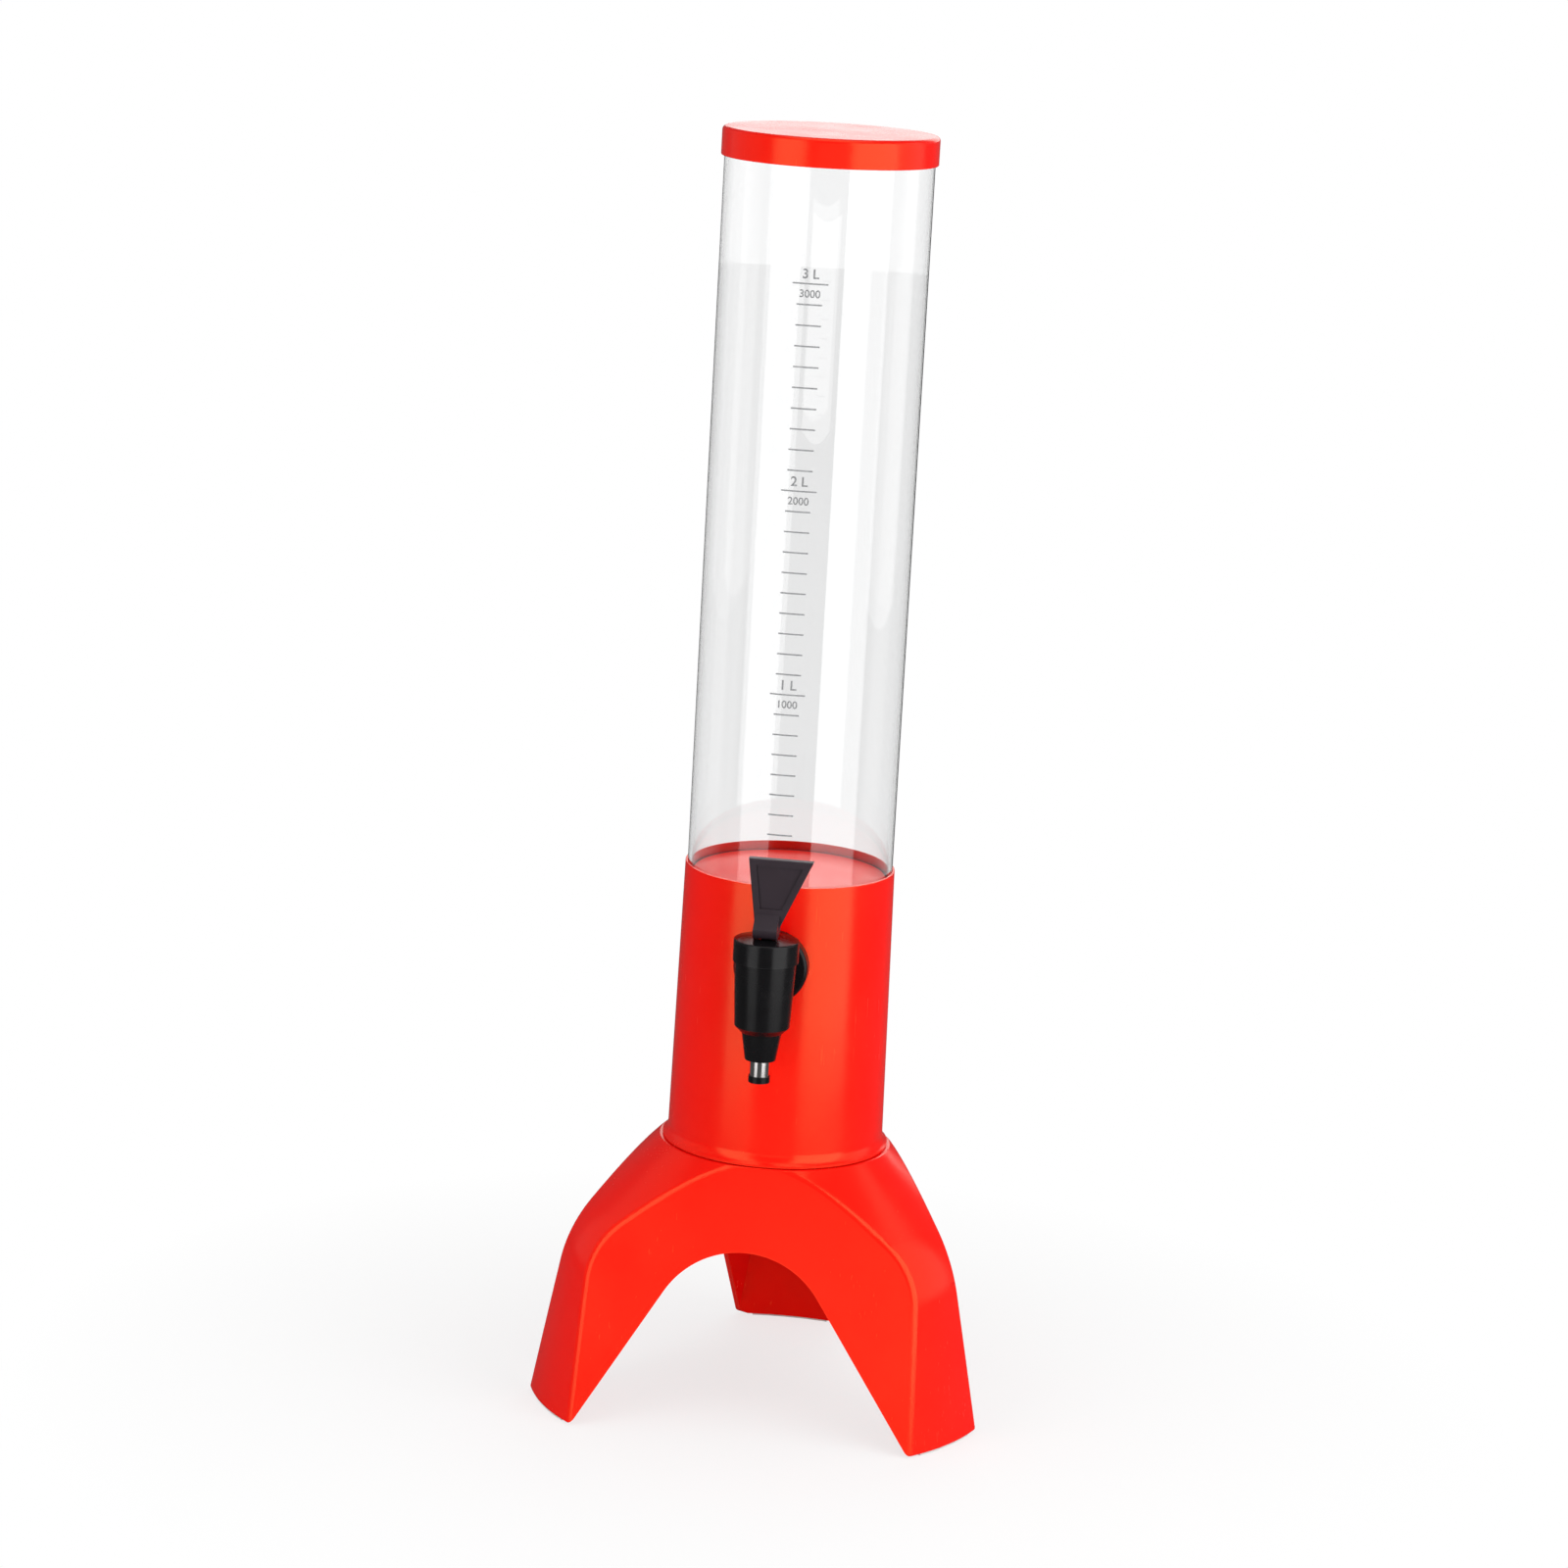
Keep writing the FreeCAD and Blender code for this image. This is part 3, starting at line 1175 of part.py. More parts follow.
def make_handle():
    """A lever with a fan-shaped paddle. Its fork straddles the stem and its toe rocks on the bonnet."""
    place = (as_size(0), -tap_reach, tap_height + pin_height)
    axis = as_size(0)
    body = new_body("tap_handle", place)
    toe_foot = d.toe_rise - d.toe_radius
    half_thick = d.paddle_thick / 2
    side = new_sketch(body, "neck_side", "YZ_Plane")
    add_outline(side, [
        (-d.toe_forward, toe_foot, d.toe_radius),
        (d.neck_back, toe_foot / 2),
        (d.neck_back, d.neck_back),
        (half_thick, d.neck_height),
        (-half_thick, d.neck_height),
        (-(d.toe_forward + d.toe_radius), d.toe_rise),
    ])
    extrude(body, "neck", side, lever_width, both=True)

    def lean(across, up):
        return (across + up * tan_of(d.paddle_lean_deg), up)

    def half_width(up):
        return lever_width / 2 + up * (d.paddle_width - lever_width) / (d.paddle_height * 2)

    front = new_sketch(body, "paddle_front", "XZ_Plane")
    add_outline(front, [lean(-half_width(axis), axis), lean(half_width(axis), axis),
                        lean(half_width(d.paddle_height), d.paddle_height),
                        lean(-half_width(d.paddle_height), d.paddle_height)])
    extrude(body, "paddle", front, d.paddle_thick, both=True)

    def paddle_edge(edge):
        box = edge.BoundBox
        point = edge_middle(edge)
        on_face = abs(abs(point.y) - half_thick.value) < 0.01 and box.YLength < 0.01
        return on_face and point.z > d.neck_height.value + d.paddle_round.value

    round_edges(body, "paddle_round", edge_numbers(body, paddle_edge), d.paddle_round)

    recess = new_sketch(body, "recess_outline", "XZ_Plane", half_thick)
    recess_top = d.paddle_height - d.panel_inset
    add_outline(recess, [
        lean(-(half_width(d.panel_start) - d.panel_inset), d.panel_start),
        lean(half_width(d.panel_start) - d.panel_inset, d.panel_start),
        lean(half_width(recess_top) - d.panel_inset, recess_top),
        lean(-(half_width(recess_top) - d.panel_inset), recess_top),
    ])
    extrude(body, "recess", recess, d.panel_depth, cut=True)

    reach = (d.stem_dia / 2 + d.fork_gap) / cos_of(d.pull_deg) - toe_foot * tan_of(d.pull_deg)
    slot = new_sketch(body, "slot_side", "YZ_Plane")
    add_outline(slot, [
        (-reach, toe_foot - CUT_MARGIN),
        (d.neck_back + CUT_MARGIN, toe_foot - CUT_MARGIN),
        (d.neck_back + CUT_MARGIN, axis),
        (-reach, axis),
    ])
    extrude(body, "slot", slot, fork_slot, cut=True, both=True)
    room = root_of(d.stem_dia * d.stem_dia / 4 + d.stem_top_round * d.stem_top_round) + d.fork_gap
    swing = new_sketch(body, "swing_room", "YZ_Plane")
    add_circle(swing, axis, axis, room)
    extrude(body, "swing", swing, fork_slot, cut=True, both=True)
    hole = new_sketch(body, "pin_hole", "YZ_Plane")
    add_circle(hole, axis, axis, d.pin_dia / 2)
    extrude(body, "hole", hole, cut=True, both=True)

    pin = new_body("handle_pin", place)
    pin_outline = new_sketch(pin, "pin_outline", "YZ_Plane")
    add_circle(pin_outline, axis, axis, d.pin_dia / 2)
    extrude(pin, "pin", pin_outline, lever_width - d.pin_inset * 2, both=True)
    return [body, pin]


def make_spout():
    outer = d.spout_dia / 2
    inner = outer - d.spout_wall
    tube = ring("spout_tube", inner, outer, -d.spout_end, -(d.neck_end - d.spout_socket), TAP_PLACE)
    tip_radius = outer + d.spout_slack + d.tip_wall
    tip = new_body("spout_tip", TAP_PLACE)
    revolve(tip, "tip", [
        (inner, -d.tip_end),
        (tip_radius, -d.tip_end),
        (tip_radius, -(d.spout_end - d.tip_overlap)),
        (outer + d.spout_slack, -(d.spout_end - d.tip_overlap)),
        (outer + d.spout_slack, -d.spout_end),
        (inner, -d.spout_end),
    ])
    return [tube, tip]


# Build everything, check it and write one file per piece

MAKERS = (make_base, make_foot_pads, make_base_screws, make_housing, make_tank_floor, make_floor_screws,
          make_tube, make_level_scale, make_lid, make_drain_hose, make_hose_clips, make_tap_fixings,
          make_tap_body, make_bonnet, make_stem, make_spring, make_handle, make_spout)

pieces = []
for maker in MAKERS:
    pieces += maker()
doc.recompute()

for thing in doc.Objects:
    if "Invalid" in thing.State or "Error" in thing.State:
        raise RuntimeError(f"{thing.Name} failed: {thing.State}")
for piece in pieces:
    if piece.Shape.isNull() or not piece.Shape.isValid() or not piece.Shape.Solids:
        raise RuntimeError(f"{piece.Label} has no valid solid")

os.makedirs("parts", exist_ok=True)
for piece in pieces:
    piece.Shape.exportStep(os.path.join("parts", f"{piece.Label}.step"))
    print(f"{piece.Label}: {len(piece.Shape.Solids)} solid(s), {piece.Shape.Volume:.1f} mm3")
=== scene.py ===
import json
import math

import bmesh
import bpy
from mathutils import Matrix, Vector


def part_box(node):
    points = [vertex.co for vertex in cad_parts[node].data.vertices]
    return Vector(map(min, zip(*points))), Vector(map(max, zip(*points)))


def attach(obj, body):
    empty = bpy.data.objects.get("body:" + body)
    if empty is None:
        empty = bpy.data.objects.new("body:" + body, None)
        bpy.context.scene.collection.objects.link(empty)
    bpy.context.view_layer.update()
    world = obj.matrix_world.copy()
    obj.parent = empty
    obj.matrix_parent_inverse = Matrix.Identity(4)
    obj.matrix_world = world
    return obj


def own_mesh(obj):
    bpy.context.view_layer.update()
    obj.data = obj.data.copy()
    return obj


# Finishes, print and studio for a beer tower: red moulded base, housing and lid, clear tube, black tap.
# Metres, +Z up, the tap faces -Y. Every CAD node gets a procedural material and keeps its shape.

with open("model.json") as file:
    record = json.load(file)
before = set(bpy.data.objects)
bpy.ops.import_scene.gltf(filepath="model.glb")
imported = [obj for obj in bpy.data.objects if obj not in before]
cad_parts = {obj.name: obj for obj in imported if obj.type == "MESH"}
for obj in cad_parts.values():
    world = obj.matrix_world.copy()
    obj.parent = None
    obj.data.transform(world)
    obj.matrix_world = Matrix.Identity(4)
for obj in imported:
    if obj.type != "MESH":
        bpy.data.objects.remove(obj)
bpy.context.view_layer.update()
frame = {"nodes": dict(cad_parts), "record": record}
nodes = frame["nodes"]
scene = bpy.context.scene


# Shader helpers

# The Mix node's sockets for colours
MIX_FACTOR = 0
MIX_FIRST = 6
MIX_SECOND = 7
MIX_RESULT = 2

EDGE_SAMPLES = 6
FLAT = 0.999
SHARP = 0.9


class NodeTree:
    """Short calls for the nodes that the finishes and the studio below use."""

    def __init__(self, tree):
        self.tree = tree
        self.coordinates = None

    def node(self, kind, **settings):
        made = self.tree.nodes.new(kind)
        for key, value in settings.items():
            setattr(made, key, value)
        return made

    def link(self, source, target):
        self.tree.links.new(source, target)

    def put(self, socket, value):
        """Set a socket to a number or colour, or link it to an output."""
        if isinstance(value, bpy.types.NodeSocket):
            self.link(value, socket)
        else:
            socket.default_value = value

    def place(self, stretch=(1, 1, 1)):
        """The piece's own coordinates, stretched per axis."""
        if self.coordinates is None:
            self.coordinates = self.node("ShaderNodeTexCoord").outputs["Object"]
        mapping = self.node("ShaderNodeMapping")
        mapping.inputs["Scale"].default_value = stretch
        self.link(self.coordinates, mapping.inputs["Vector"])
        return mapping.outputs["Vector"]

    def noise(self, scale, detail=4, rough=0.5, stretch=(1, 1, 1)):
        made = self.node("ShaderNodeTexNoise")
        self.link(self.place(stretch), made.inputs["Vector"])
        made.inputs["Scale"].default_value = scale
        made.inputs["Detail"].default_value = detail
        made.inputs["Roughness"].default_value = rough
        return made.outputs["Fac"]

    def remap(self, value, low, high, to_low=0.0, to_high=1.0):
        made = self.node("ShaderNodeMapRange", clamp=True)
        self.link(value, made.inputs["Value"])
        made.inputs["From Min"].default_value = low
        made.inputs["From Max"].default_value = high
        made.inputs["To Min"].default_value = to_low
        made.inputs["To Max"].default_value = to_high
        return made.outputs["Result"]

    def calculate(self, operation, first, second):
        made = self.node("ShaderNodeMath", operation=operation)
        self.put(made.inputs[0], first)
        self.put(made.inputs[1], second)
        return made.outputs["Value"]

    def mix(self, factor, first, second):
        made = self.node("ShaderNodeMix", data_type="RGBA")
        self.put(made.inputs[MIX_FACTOR], factor)
        self.put(made.inputs[MIX_FIRST], first)
        self.put(made.inputs[MIX_SECOND], second)
        return made.outputs[MIX_RESULT]

    def bump(self, height, strength, distance, under=None):
        made = self.node("ShaderNodeBump")
        self.put(made.inputs["Height"], height)
        made.inputs["Strength"].default_value = strength
        made.inputs["Distance"].default_value = distance
        if under is not None:
            self.link(under, made.inputs["Normal"])
        return made.outputs["Normal"]

    def edge_wear_and_highlight_mask(self, width):
        """1 on convex edges within width metres, broken up by noise: wear on the black plastic, a
        painted highlight on the red.
        """
        bevel = self.node("ShaderNodeBevel", samples=EDGE_SAMPLES)
        bevel.inputs["Radius"].default_value = width
        geometry = self.node("ShaderNodeNewGeometry")
        facing = self.node("ShaderNodeVectorMath", operation="DOT_PRODUCT")
        self.link(bevel.outputs["Normal"], facing.inputs[0])
        self.link(geometry.outputs["Normal"], facing.inputs[1])
        edge = self.remap(facing.outputs["Value"], FLAT, SHARP)
        breakup = self.remap(self.noise(420, 5, 0.6), 0.15, 0.75)
        return self.calculate("MULTIPLY", edge, breakup)

    def path(self, *rays):
        """1 for rays of the named kinds."""
        light = self.node("ShaderNodeLightPath")
        found = light.outputs[rays[0]]
        for ray in rays[1:]:
            found = self.calculate("MAXIMUM", found, light.outputs[ray])
        return found


class Shader(NodeTree):
    """A new material with a principled shader."""

    def __init__(self, name):
        self.material = bpy.data.materials.new(name)
        self.material.use_nodes = True
        super().__init__(self.material.node_tree)
        self.principled = self.tree.nodes["Principled BSDF"]
        self.output = self.tree.nodes["Material Output"]

    def set(self, **sockets):
        for name, value in sockets.items():
            self.put(self.principled.inputs[name.replace("_", " ")], value)

    def mix_shader(self, factor, first, second):
        """Put a mix of two shaders on the output."""
        mixer = self.node("ShaderNodeMixShader")
        self.put(mixer.inputs[0], factor)
        self.link(first, mixer.inputs[1])
        self.link(second, mixer.inputs[2])
        self.link(mixer.outputs["Shader"], self.output.inputs["Surface"])


def colour(red, green, blue):
    return (red, green, blue, 1.0)


# Finishes

PLASTIC_IOR = 1.5
ACRYLIC_IOR = 1.43


def red_plastic(name="red_plastic", smooth=0.18, rough=0.26, shine=0.5):
    """Glossy moulded plastic: faint flow marks, orange peel, hairlines and a painted highlight, lighter
    orange, along the edges.
    """
    s = Shader(name)
    flow = s.remap(s.noise(9, 5, 0.55, (1, 1, 0.35)), 0.3, 0.7)
    body = s.mix(flow, colour(0.86, 0.002, 0.002), colour(0.91, 0.005, 0.003))
    # Lighter orange on the rounded edges is a painted highlight
    wear_and_highlight_edges = s.edge_wear_and_highlight_mask(0.0012)
    s.set(Base_Color=s.mix(s.calculate("MULTIPLY", wear_and_highlight_edges, 0.3), body, colour(0.95, 0.085, 0.03)))
    smudge = s.remap(s.noise(26, 6, 0.6), 0.35, 0.7, smooth, rough)
    hair = s.remap(s.noise(900, 2, 0.5, (1, 1, 0.04)), 0.62, 0.75, 0.0, 0.06)
    s.set(Roughness=s.calculate("ADD", smudge, hair))
    peel = s.bump(s.noise(240, 3, 0.5), 0.05, 0.0004)
    s.set(Normal=s.bump(s.noise(2600, 2, 0.5), 0.02, 0.0001, peel))
    s.set(IOR=PLASTIC_IOR, Specular_IOR_Level=shine, Specular_Tint=colour(1.0, 0.85, 0.3))
    return s.material


def clear_tube():
    """Clear extruded acrylic with faint draw lines, greyer towards its edges; lamps shine through it."""
    s = Shader("clear_tube")
    edge = s.node("ShaderNodeLayerWeight")
    edge.inputs["Blend"].default_value = 0.3
    facing = s.remap(edge.outputs["Facing"], 0.25, 0.95)
    s.set(Base_Color=s.mix(facing, colour(0.94, 0.941, 0.942), colour(0.86, 0.865, 0.87)))
    s.set(Transmission_Weight=1.0, IOR=ACRYLIC_IOR)
    s.set(Roughness=s.remap(s.noise(30, 5, 0.6, (1, 1, 0.2)), 0.5, 0.85, 0.0, 0.05))
    s.set(Normal=s.bump(s.noise(160, 2, 0.5, (1, 1, 0.01)), 0.03, 0.0003))
    clear = s.node("ShaderNodeBsdfTransparent")
    clear.inputs["Color"].default_value = colour(0.93, 0.935, 0.94)
    s.mix_shader(s.path("Is Shadow Ray"), s.principled.outputs["BSDF"], clear.outputs["BSDF"])
    return s.material


def black_plastic(name="black_plastic", smooth=0.2, rough=0.34,
                  clean=(0.0045, 0.0042, 0.0048), dusty=(0.013, 0.012, 0.013)):
    """Black plastic with a fine grain, dust and rubbed edges."""
    s = Shader(name)
    dust = s.remap(s.noise(70, 6, 0.65), 0.55, 0.8, 0.0, 0.5)
    body = s.mix(dust, colour(*clean), colour(*dusty))
    wear_and_highlight_edges = s.edge_wear_and_highlight_mask(0.0004)
    s.set(Base_Color=s.mix(s.calculate("MULTIPLY", wear_and_highlight_edges, 0.5), body, colour(0.05, 0.05, 0.052)))
    s.set(Roughness=s.remap(s.noise(60, 6, 0.6), 0.3, 0.75, smooth, rough))
    s.set(Normal=s.bump(s.noise(1500, 3, 0.6), 0.06, 0.0001))
    s.set(IOR=PLASTIC_IOR, Specular_IOR_Level=0.25)
    return s.material


def spout_steel():
    """Polished stainless tube with drawing lines along its length."""
    s = Shader("spout_steel")
    s.set(Metallic=1.0)
    s.set(Base_Color=s.mix(s.remap(s.noise(300, 4, 0.6, (1, 1, 0.05)), 0.3, 0.7),
                           colour(0.50, 0.48, 0.47), colour(0.62, 0.60, 0.59)))
    s.set(Roughness=s.remap(s.noise(800, 3, 0.6, (1, 1, 0.03)), 0.3, 0.7, 0.08, 0.17))
    s.set(Normal=s.bump(s.noise(1800, 2, 0.5, (1, 1, 0.02)), 0.05, 0.00005))
    return s.material


def screw_steel():
    """Zinc-plated steel: fine turning marks and dulled patches."""
    s = Shader("screw_steel")
    s.set(Metallic=1.0)
    s.set(Base_Color=s.mix(s.remap(s.noise(500, 4, 0.6), 0.35, 0.7),
                           colour(0.48, 0.48, 0.47), colour(0.62, 0.62, 0.60)))
    s.set(Roughness=s.remap(s.noise(900, 4, 0.6), 0.3, 0.7, 0.25, 0.42))
    s.set(Normal=s.bump(s.noise(2400, 2, 0.5, (1, 1, 6)), 0.1, 0.00005))
    return s.material


def rubber():
    """Matt black rubber, a little dusty."""
    s = Shader("rubber")
    s.set(Base_Color=s.mix(s.remap(s.noise(220, 5, 0.65), 0.4, 0.75),
                           colour(0.016, 0.016, 0.017), colour(0.042, 0.041, 0.040)))
    s.set(Roughness=s.remap(s.noise(300, 4, 0.6), 0.3, 0.7, 0.6, 0.8))
    s.set(Normal=s.bump(s.noise(1800, 4, 0.7), 0.25, 0.0001))
    return s.material


def silicone():
    """Milky silicone for the hose and the seals."""
    s = Shader("silicone")
    s.set(Base_Color=s.mix(s.remap(s.noise(90, 4, 0.6), 0.35, 0.7),
                           colour(0.66, 0.67, 0.65), colour(0.76, 0.77, 0.75)))
    s.set(Roughness=s.remap(s.noise(200, 4, 0.6), 0.3, 0.7, 0.38, 0.52))
    s.set(Normal=s.bump(s.noise(900, 3, 0.6), 0.08, 0.0001))
    s.set(Subsurface_Weight=0.2, Subsurface_Scale=0.003)
    return s.material


def ink():
    """Grey screen print, a little thin and speckled where it has worn."""
    s = Shader("ink")
    worn = s.remap(s.noise(1400, 4, 0.7), 0.42, 0.75)
    s.set(Base_Color=s.mix(worn, colour(0.20, 0.205, 0.21), colour(0.42, 0.425, 0.43)))
    s.set(Roughness=s.remap(s.noise(700, 3, 0.6), 0.3, 0.7, 0.45, 0.6))
    s.set(Normal=s.bump(s.noise(3000, 2, 0.6), 0.15, 0.00004))
    return s.material


FINISHES = {
    "red_plastic": red_plastic(),
    "clear_tube": clear_tube(),
    "black_plastic": black_plastic(),
    "spout_steel": spout_steel(),
    "screw_steel": screw_steel(),
    "rubber": rubber(),
    "silicone": silicone(),
    "ink": ink(),
}

NODE_FINISHES = {
    "tank_floor": red_plastic("red_satin", smooth=0.38, rough=0.5, shine=0.3),
    "tap_handle": black_plastic("black_satin", smooth=0.4, rough=0.5,
                                clean=(0.026, 0.017, 0.023), dusty=(0.038, 0.027, 0.035)),
}

for part in frame["record"]["subparts"]:
    piece = nodes[part["node"]]
    finish = NODE_FINISHES.get(part["node"], FINISHES[part["material_slot"]])
    piece.data.materials.clear()
    piece.data.materials.append(finish)


# Litre figures printed on the tube beside the CAD's marks

PRINT_LIFT = 0.00002
PRINT_THICK = 0.00012
FIGURE_HEIGHT = 0.0052
SMALL_FIGURE = FIGURE_HEIGHT * 0.8
FIGURE_RISE = 0.0026
FIGURE_BOLD = 0.018
FIGURE_STEPS = 6
WELD = 1e-5

TUBE_WALL = 0.002
LITRE = 0.001

tube_low, tube_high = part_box("tank_tube")
TUBE_RADIUS = (tube_high[0] - tube_low[0]) / 2
BORE_RADIUS = TUBE_RADIUS - TUBE_WALL
LITRE_HEIGHT = LITRE / (math.pi * BORE_RADIUS ** 2)
SCALE_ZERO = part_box("tank_floor")[1][2]


def flat_text(name, words):
    """The words as a flat mesh."""
    curve = bpy.data.curves.new(name + "_curve", "FONT")
    curve.body = words
    curve.size = 1.0
    curve.align_x = "CENTER"
    curve.align_y = "CENTER"
    curve.resolution_u = FIGURE_STEPS
    curve.offset = FIGURE_BOLD
    source = bpy.data.objects.new(name + "_source", curve)
    scene.collection.objects.link(source)
    bpy.context.view_layer.update()
    mesh = bpy.data.meshes.new_from_object(source.evaluated_get(bpy.context.evaluated_depsgraph_get()))
    bpy.data.objects.remove(source)
    return mesh


def printed_text(name, words, centre_z, height):
    """Words wrapped round the front of the tube as a thin print, centred at a height."""
    mesh = flat_text(name, words)
    low = min(v.co.y for v in mesh.vertices)
    high = max(v.co.y for v in mesh.vertices)
    scale = height / (high - low)
    middle = (low + high) / 2
    form = bmesh.new()
    form.from_mesh(mesh)
    bmesh.ops.remove_doubles(form, verts=form.verts, dist=WELD)
    extruded = bmesh.ops.extrude_face_region(form, geom=list(form.faces))
    raised = {v for v in extruded["geom"] if isinstance(v, bmesh.types.BMVert)}
    inner = TUBE_RADIUS + PRINT_LIFT
    for vert in form.verts:
        radius = inner + (PRINT_THICK if vert in raised else 0.0)
        angle = vert.co.x * scale / inner
        level = centre_z + (vert.co.y - middle) * scale
        vert.co = Vector((radius * math.sin(angle), -radius * math.cos(angle), level))
    bmesh.ops.recalc_face_normals(form, faces=form.faces)
    form.to_mesh(mesh)
    form.free()
    mesh.materials.clear()
    mesh.materials.append(FINISHES["ink"])
    mesh.name = name
    piece = bpy.data.objects.new(name, mesh)
    scene.collection.objects.link(piece)
    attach(piece, "tower")


for litres in (1, 2, 3):
    mark = SCALE_ZERO + litres * LITRE_HEIGHT
    above = mark + FIGURE_RISE + FIGURE_HEIGHT / 2
    below = mark - FIGURE_RISE - FIGURE_HEIGHT / 2
    printed_text(f"litre_figure_{litres}", f"{litres} L", above, FIGURE_HEIGHT)
    printed_text(f"millilitre_figure_{litres}", f"{litres}000", below, SMALL_FIGURE)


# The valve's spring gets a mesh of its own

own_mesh(nodes["valve_spring"])


# Camera at the photograph's angle

CAMERA_DISTANCE = 2.5
CAMERA_HEIGHT = 0.88974
CAMERA_AZIMUTH = math.radians(6.75)
CAMERA_PITCH = math.radians(12.265)
CAMERA_PAN = math.radians(-0.133)
CAMERA_ROLL = math.radians(-3.217)
CAMERA_LENS = 107.88
SENSOR_WIDTH = 36


def make_camera():
    swing = Matrix.Rotation(CAMERA_AZIMUTH, 3, "Z")
    forward = Vector((math.sin(CAMERA_PAN) * math.cos(CAMERA_PITCH),
                      math.cos(CAMERA_PAN) * math.cos(CAMERA_PITCH), -math.sin(CAMERA_PITCH)))
    right = Vector((math.cos(CAMERA_PAN), -math.sin(CAMERA_PAN), 0))
    up = right.cross(forward)
    rolled_right = right * math.cos(CAMERA_ROLL) - up * math.sin(CAMERA_ROLL)
    rolled_up = right * math.sin(CAMERA_ROLL) + up * math.cos(CAMERA_ROLL)
    place = swing @ Vector((0, -CAMERA_DISTANCE, CAMERA_HEIGHT))
    axes = [swing @ v for v in (rolled_right, rolled_up, -forward)]
    lens = bpy.data.cameras.new("photo_camera")
    lens.lens = CAMERA_LENS
    lens.sensor_width = SENSOR_WIDTH
    lens.sensor_fit = "HORIZONTAL"
    camera = bpy.data.objects.new("photo_camera", lens)
    scene.collection.objects.link(camera)
    matrix = Matrix.Identity(4)
    for column, axis in enumerate(axes):
        for row in range(3):
            matrix[row][column] = axis[row]
    for row in range(3):
        matrix[row][3] = place[row]
    camera.matrix_world = matrix
    scene.camera = camera


make_camera()


# Studio: a pale floor, a white surround that is dim in reflections, and soft boxes

DIM_ROOM = 0.12
DIM_FRONT = 0.15
AMBIENT = 0.42

FLOOR_RADIUS = 6.0
FLOOR_SIDES = 96
FLOOR_COLOUR = 0.82
MIRRORED_FLOOR = 0.12

# Near the object the floor keeps this share of white, out to the first distance, and past the second it
# is all white
FLOOR_WHITE = 0.72
SHADOW_NEAR = 0.14
SHADOW_FAR = 0.42

# Through the tube, the floor and the surround turn from dim in front to white behind over these ranges
FLOOR_FRONT, FLOOR_BACK = -0.3, 0.0
WORLD_FRONT, WORLD_BACK = -0.1, 0.3

# Soft boxes: azimuth in degrees from the front (positive to the right), distance, height of the centre,
# width, height, radiance, and the height on the axis that the lamp points at
SOFTBOXES = {
    "strip_left": (-35, 0.75, 0.56, 0.46, 1.1, 1.8, 0.56),
    "strip_right": (54, 0.75, 0.56, 0.72, 1.1, 2.2, 0.56),
    "wall_left": (-95, 2.0, 0.95, 2.2, 1.9, 0.18, 0.38),
    "wall_right": (100, 2.0, 0.95, 1.7, 1.9, 0.7, 0.38),
    "wall_front": (8, 3.5, 0.19, 1.9, 0.28, 1.3, 0.19),
    "ceiling": (0, 0.4, 2.2, 1.6, 1.6, 1.2, 0.38),
    "wall_back": (173, 3.1, 1.5, 2.5, 1.4, 1.5, 0.7),
}


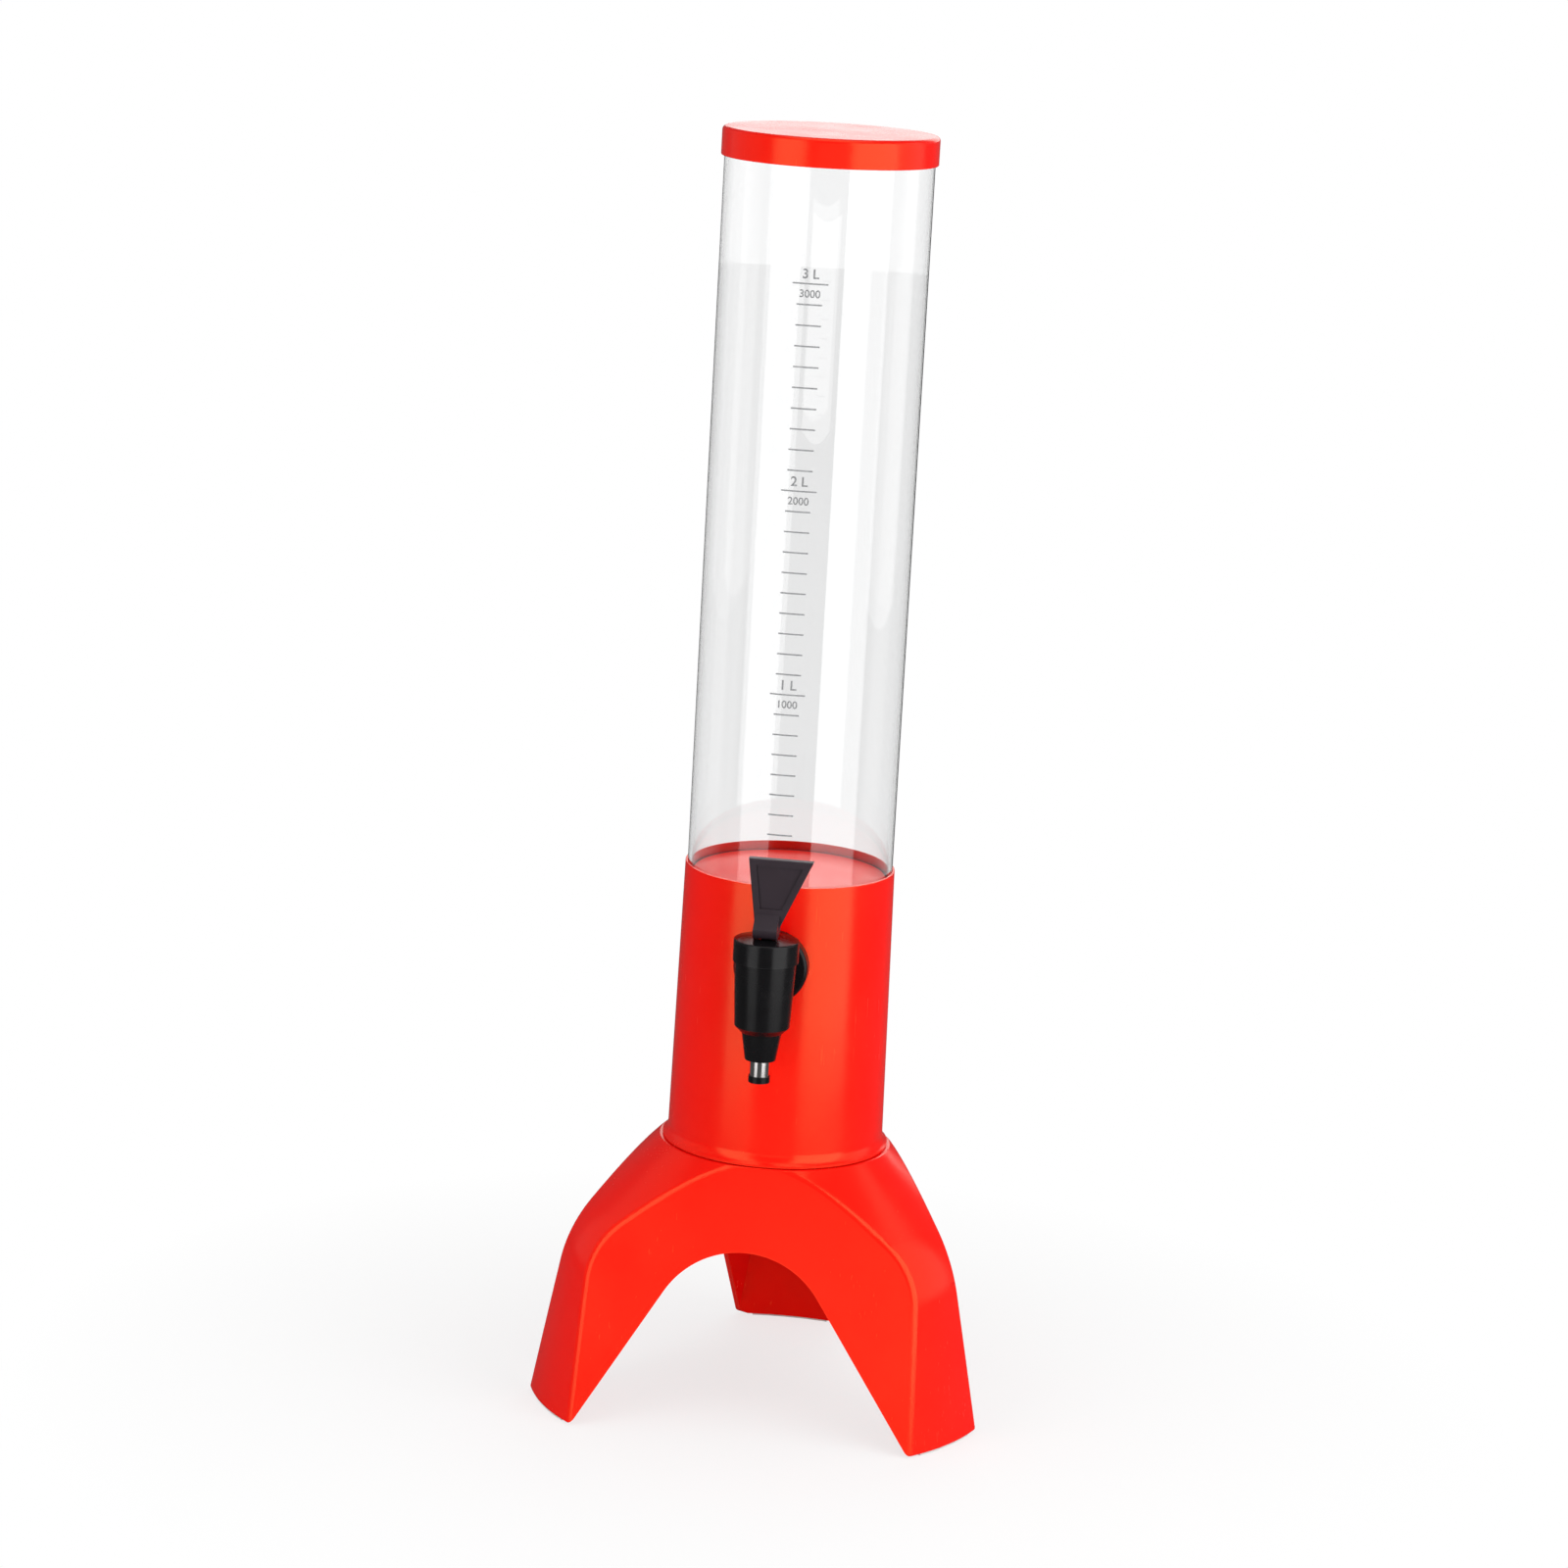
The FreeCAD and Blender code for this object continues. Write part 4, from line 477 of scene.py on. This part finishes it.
def make_floor():
    """A pale floor that is white but for the object's shadow, and dark in reflections."""
    bpy.ops.mesh.primitive_circle_add(vertices=FLOOR_SIDES, radius=FLOOR_RADIUS, fill_type="NGON",
                                      location=(0, 0, 0))
    floor = bpy.context.active_object
    floor.name = "studio_floor"
    s = Shader("studio_floor")
    shade = s.remap(s.path("Is Glossy Ray"), 0.0, 1.0, FLOOR_COLOUR, MIRRORED_FLOOR)
    s.set(Base_Color=shade, Roughness=0.9, Specular_IOR_Level=0.1)
    position = s.node("ShaderNodeNewGeometry").outputs["Position"]
    away = s.node("ShaderNodeVectorMath", operation="LENGTH")
    s.link(position, away.inputs[0])
    whiten = s.remap(away.outputs["Value"], SHADOW_NEAR, SHADOW_FAR, FLOOR_WHITE, 1.0)
    white = s.node("ShaderNodeEmission")
    white.inputs["Color"].default_value = colour(1, 1, 1)
    depth = s.node("ShaderNodeSeparateXYZ")
    s.link(position, depth.inputs[0])
    through = s.calculate("MULTIPLY", s.path("Is Transmission Ray"),
                     s.remap(depth.outputs["Y"], FLOOR_FRONT, FLOOR_BACK, DIM_FRONT, 1.0))
    s.link(s.calculate("ADD", s.path("Is Camera Ray"), through), white.inputs["Strength"])
    seen = s.path("Is Camera Ray", "Is Transmission Ray")
    s.mix_shader(s.calculate("MULTIPLY", seen, whiten),
                 s.principled.outputs["BSDF"], white.outputs["Emission"])
    floor.data.materials.append(s.material)


def make_world():
    """White where it is seen, an even light on the object, and dim in reflections."""
    world = bpy.data.worlds.new("studio")
    scene.world = world
    world.use_nodes = True
    w = NodeTree(world.node_tree)
    background = w.tree.nodes["Background"]
    background.inputs["Color"].default_value = colour(1, 1, 1)
    lit = w.calculate("MULTIPLY", w.path("Is Diffuse Ray"), AMBIENT)
    glossy = w.calculate("MULTIPLY", w.path("Is Glossy Ray"), DIM_ROOM)
    direction = w.node("ShaderNodeSeparateXYZ")
    w.link(w.node("ShaderNodeTexCoord").outputs["Generated"], direction.inputs[0])
    through = w.calculate("MULTIPLY", w.path("Is Transmission Ray"),
                     w.remap(direction.outputs["Y"], WORLD_FRONT, WORLD_BACK, DIM_FRONT, 1.0))
    direct = w.calculate("ADD", w.path("Is Camera Ray"), through)
    w.link(w.calculate("ADD", direct, w.calculate("ADD", lit, glossy)), background.inputs["Strength"])


def add_softbox(name, azimuth, distance, centre_height, width, height, radiance, target_height):
    """An area lamp round the object that lights it but isn't seen by the camera."""
    lamp = bpy.data.lights.new(name, "AREA")
    lamp.shape = "RECTANGLE"
    lamp.size = width
    lamp.size_y = height
    lamp.energy = math.pi * width * height * radiance
    box = bpy.data.objects.new(name, lamp)
    scene.collection.objects.link(box)
    turn = math.radians(azimuth)
    box.location = (distance * math.sin(turn), -distance * math.cos(turn), centre_height)
    target = Vector((0, 0, target_height))
    box.rotation_euler = (target - box.location).to_track_quat("-Z", "Y").to_euler()
    box.visible_camera = False


make_floor()
make_world()
for softbox, figures in SOFTBOXES.items():
    add_softbox(softbox, *figures)

scene.view_settings.view_transform = "Standard"
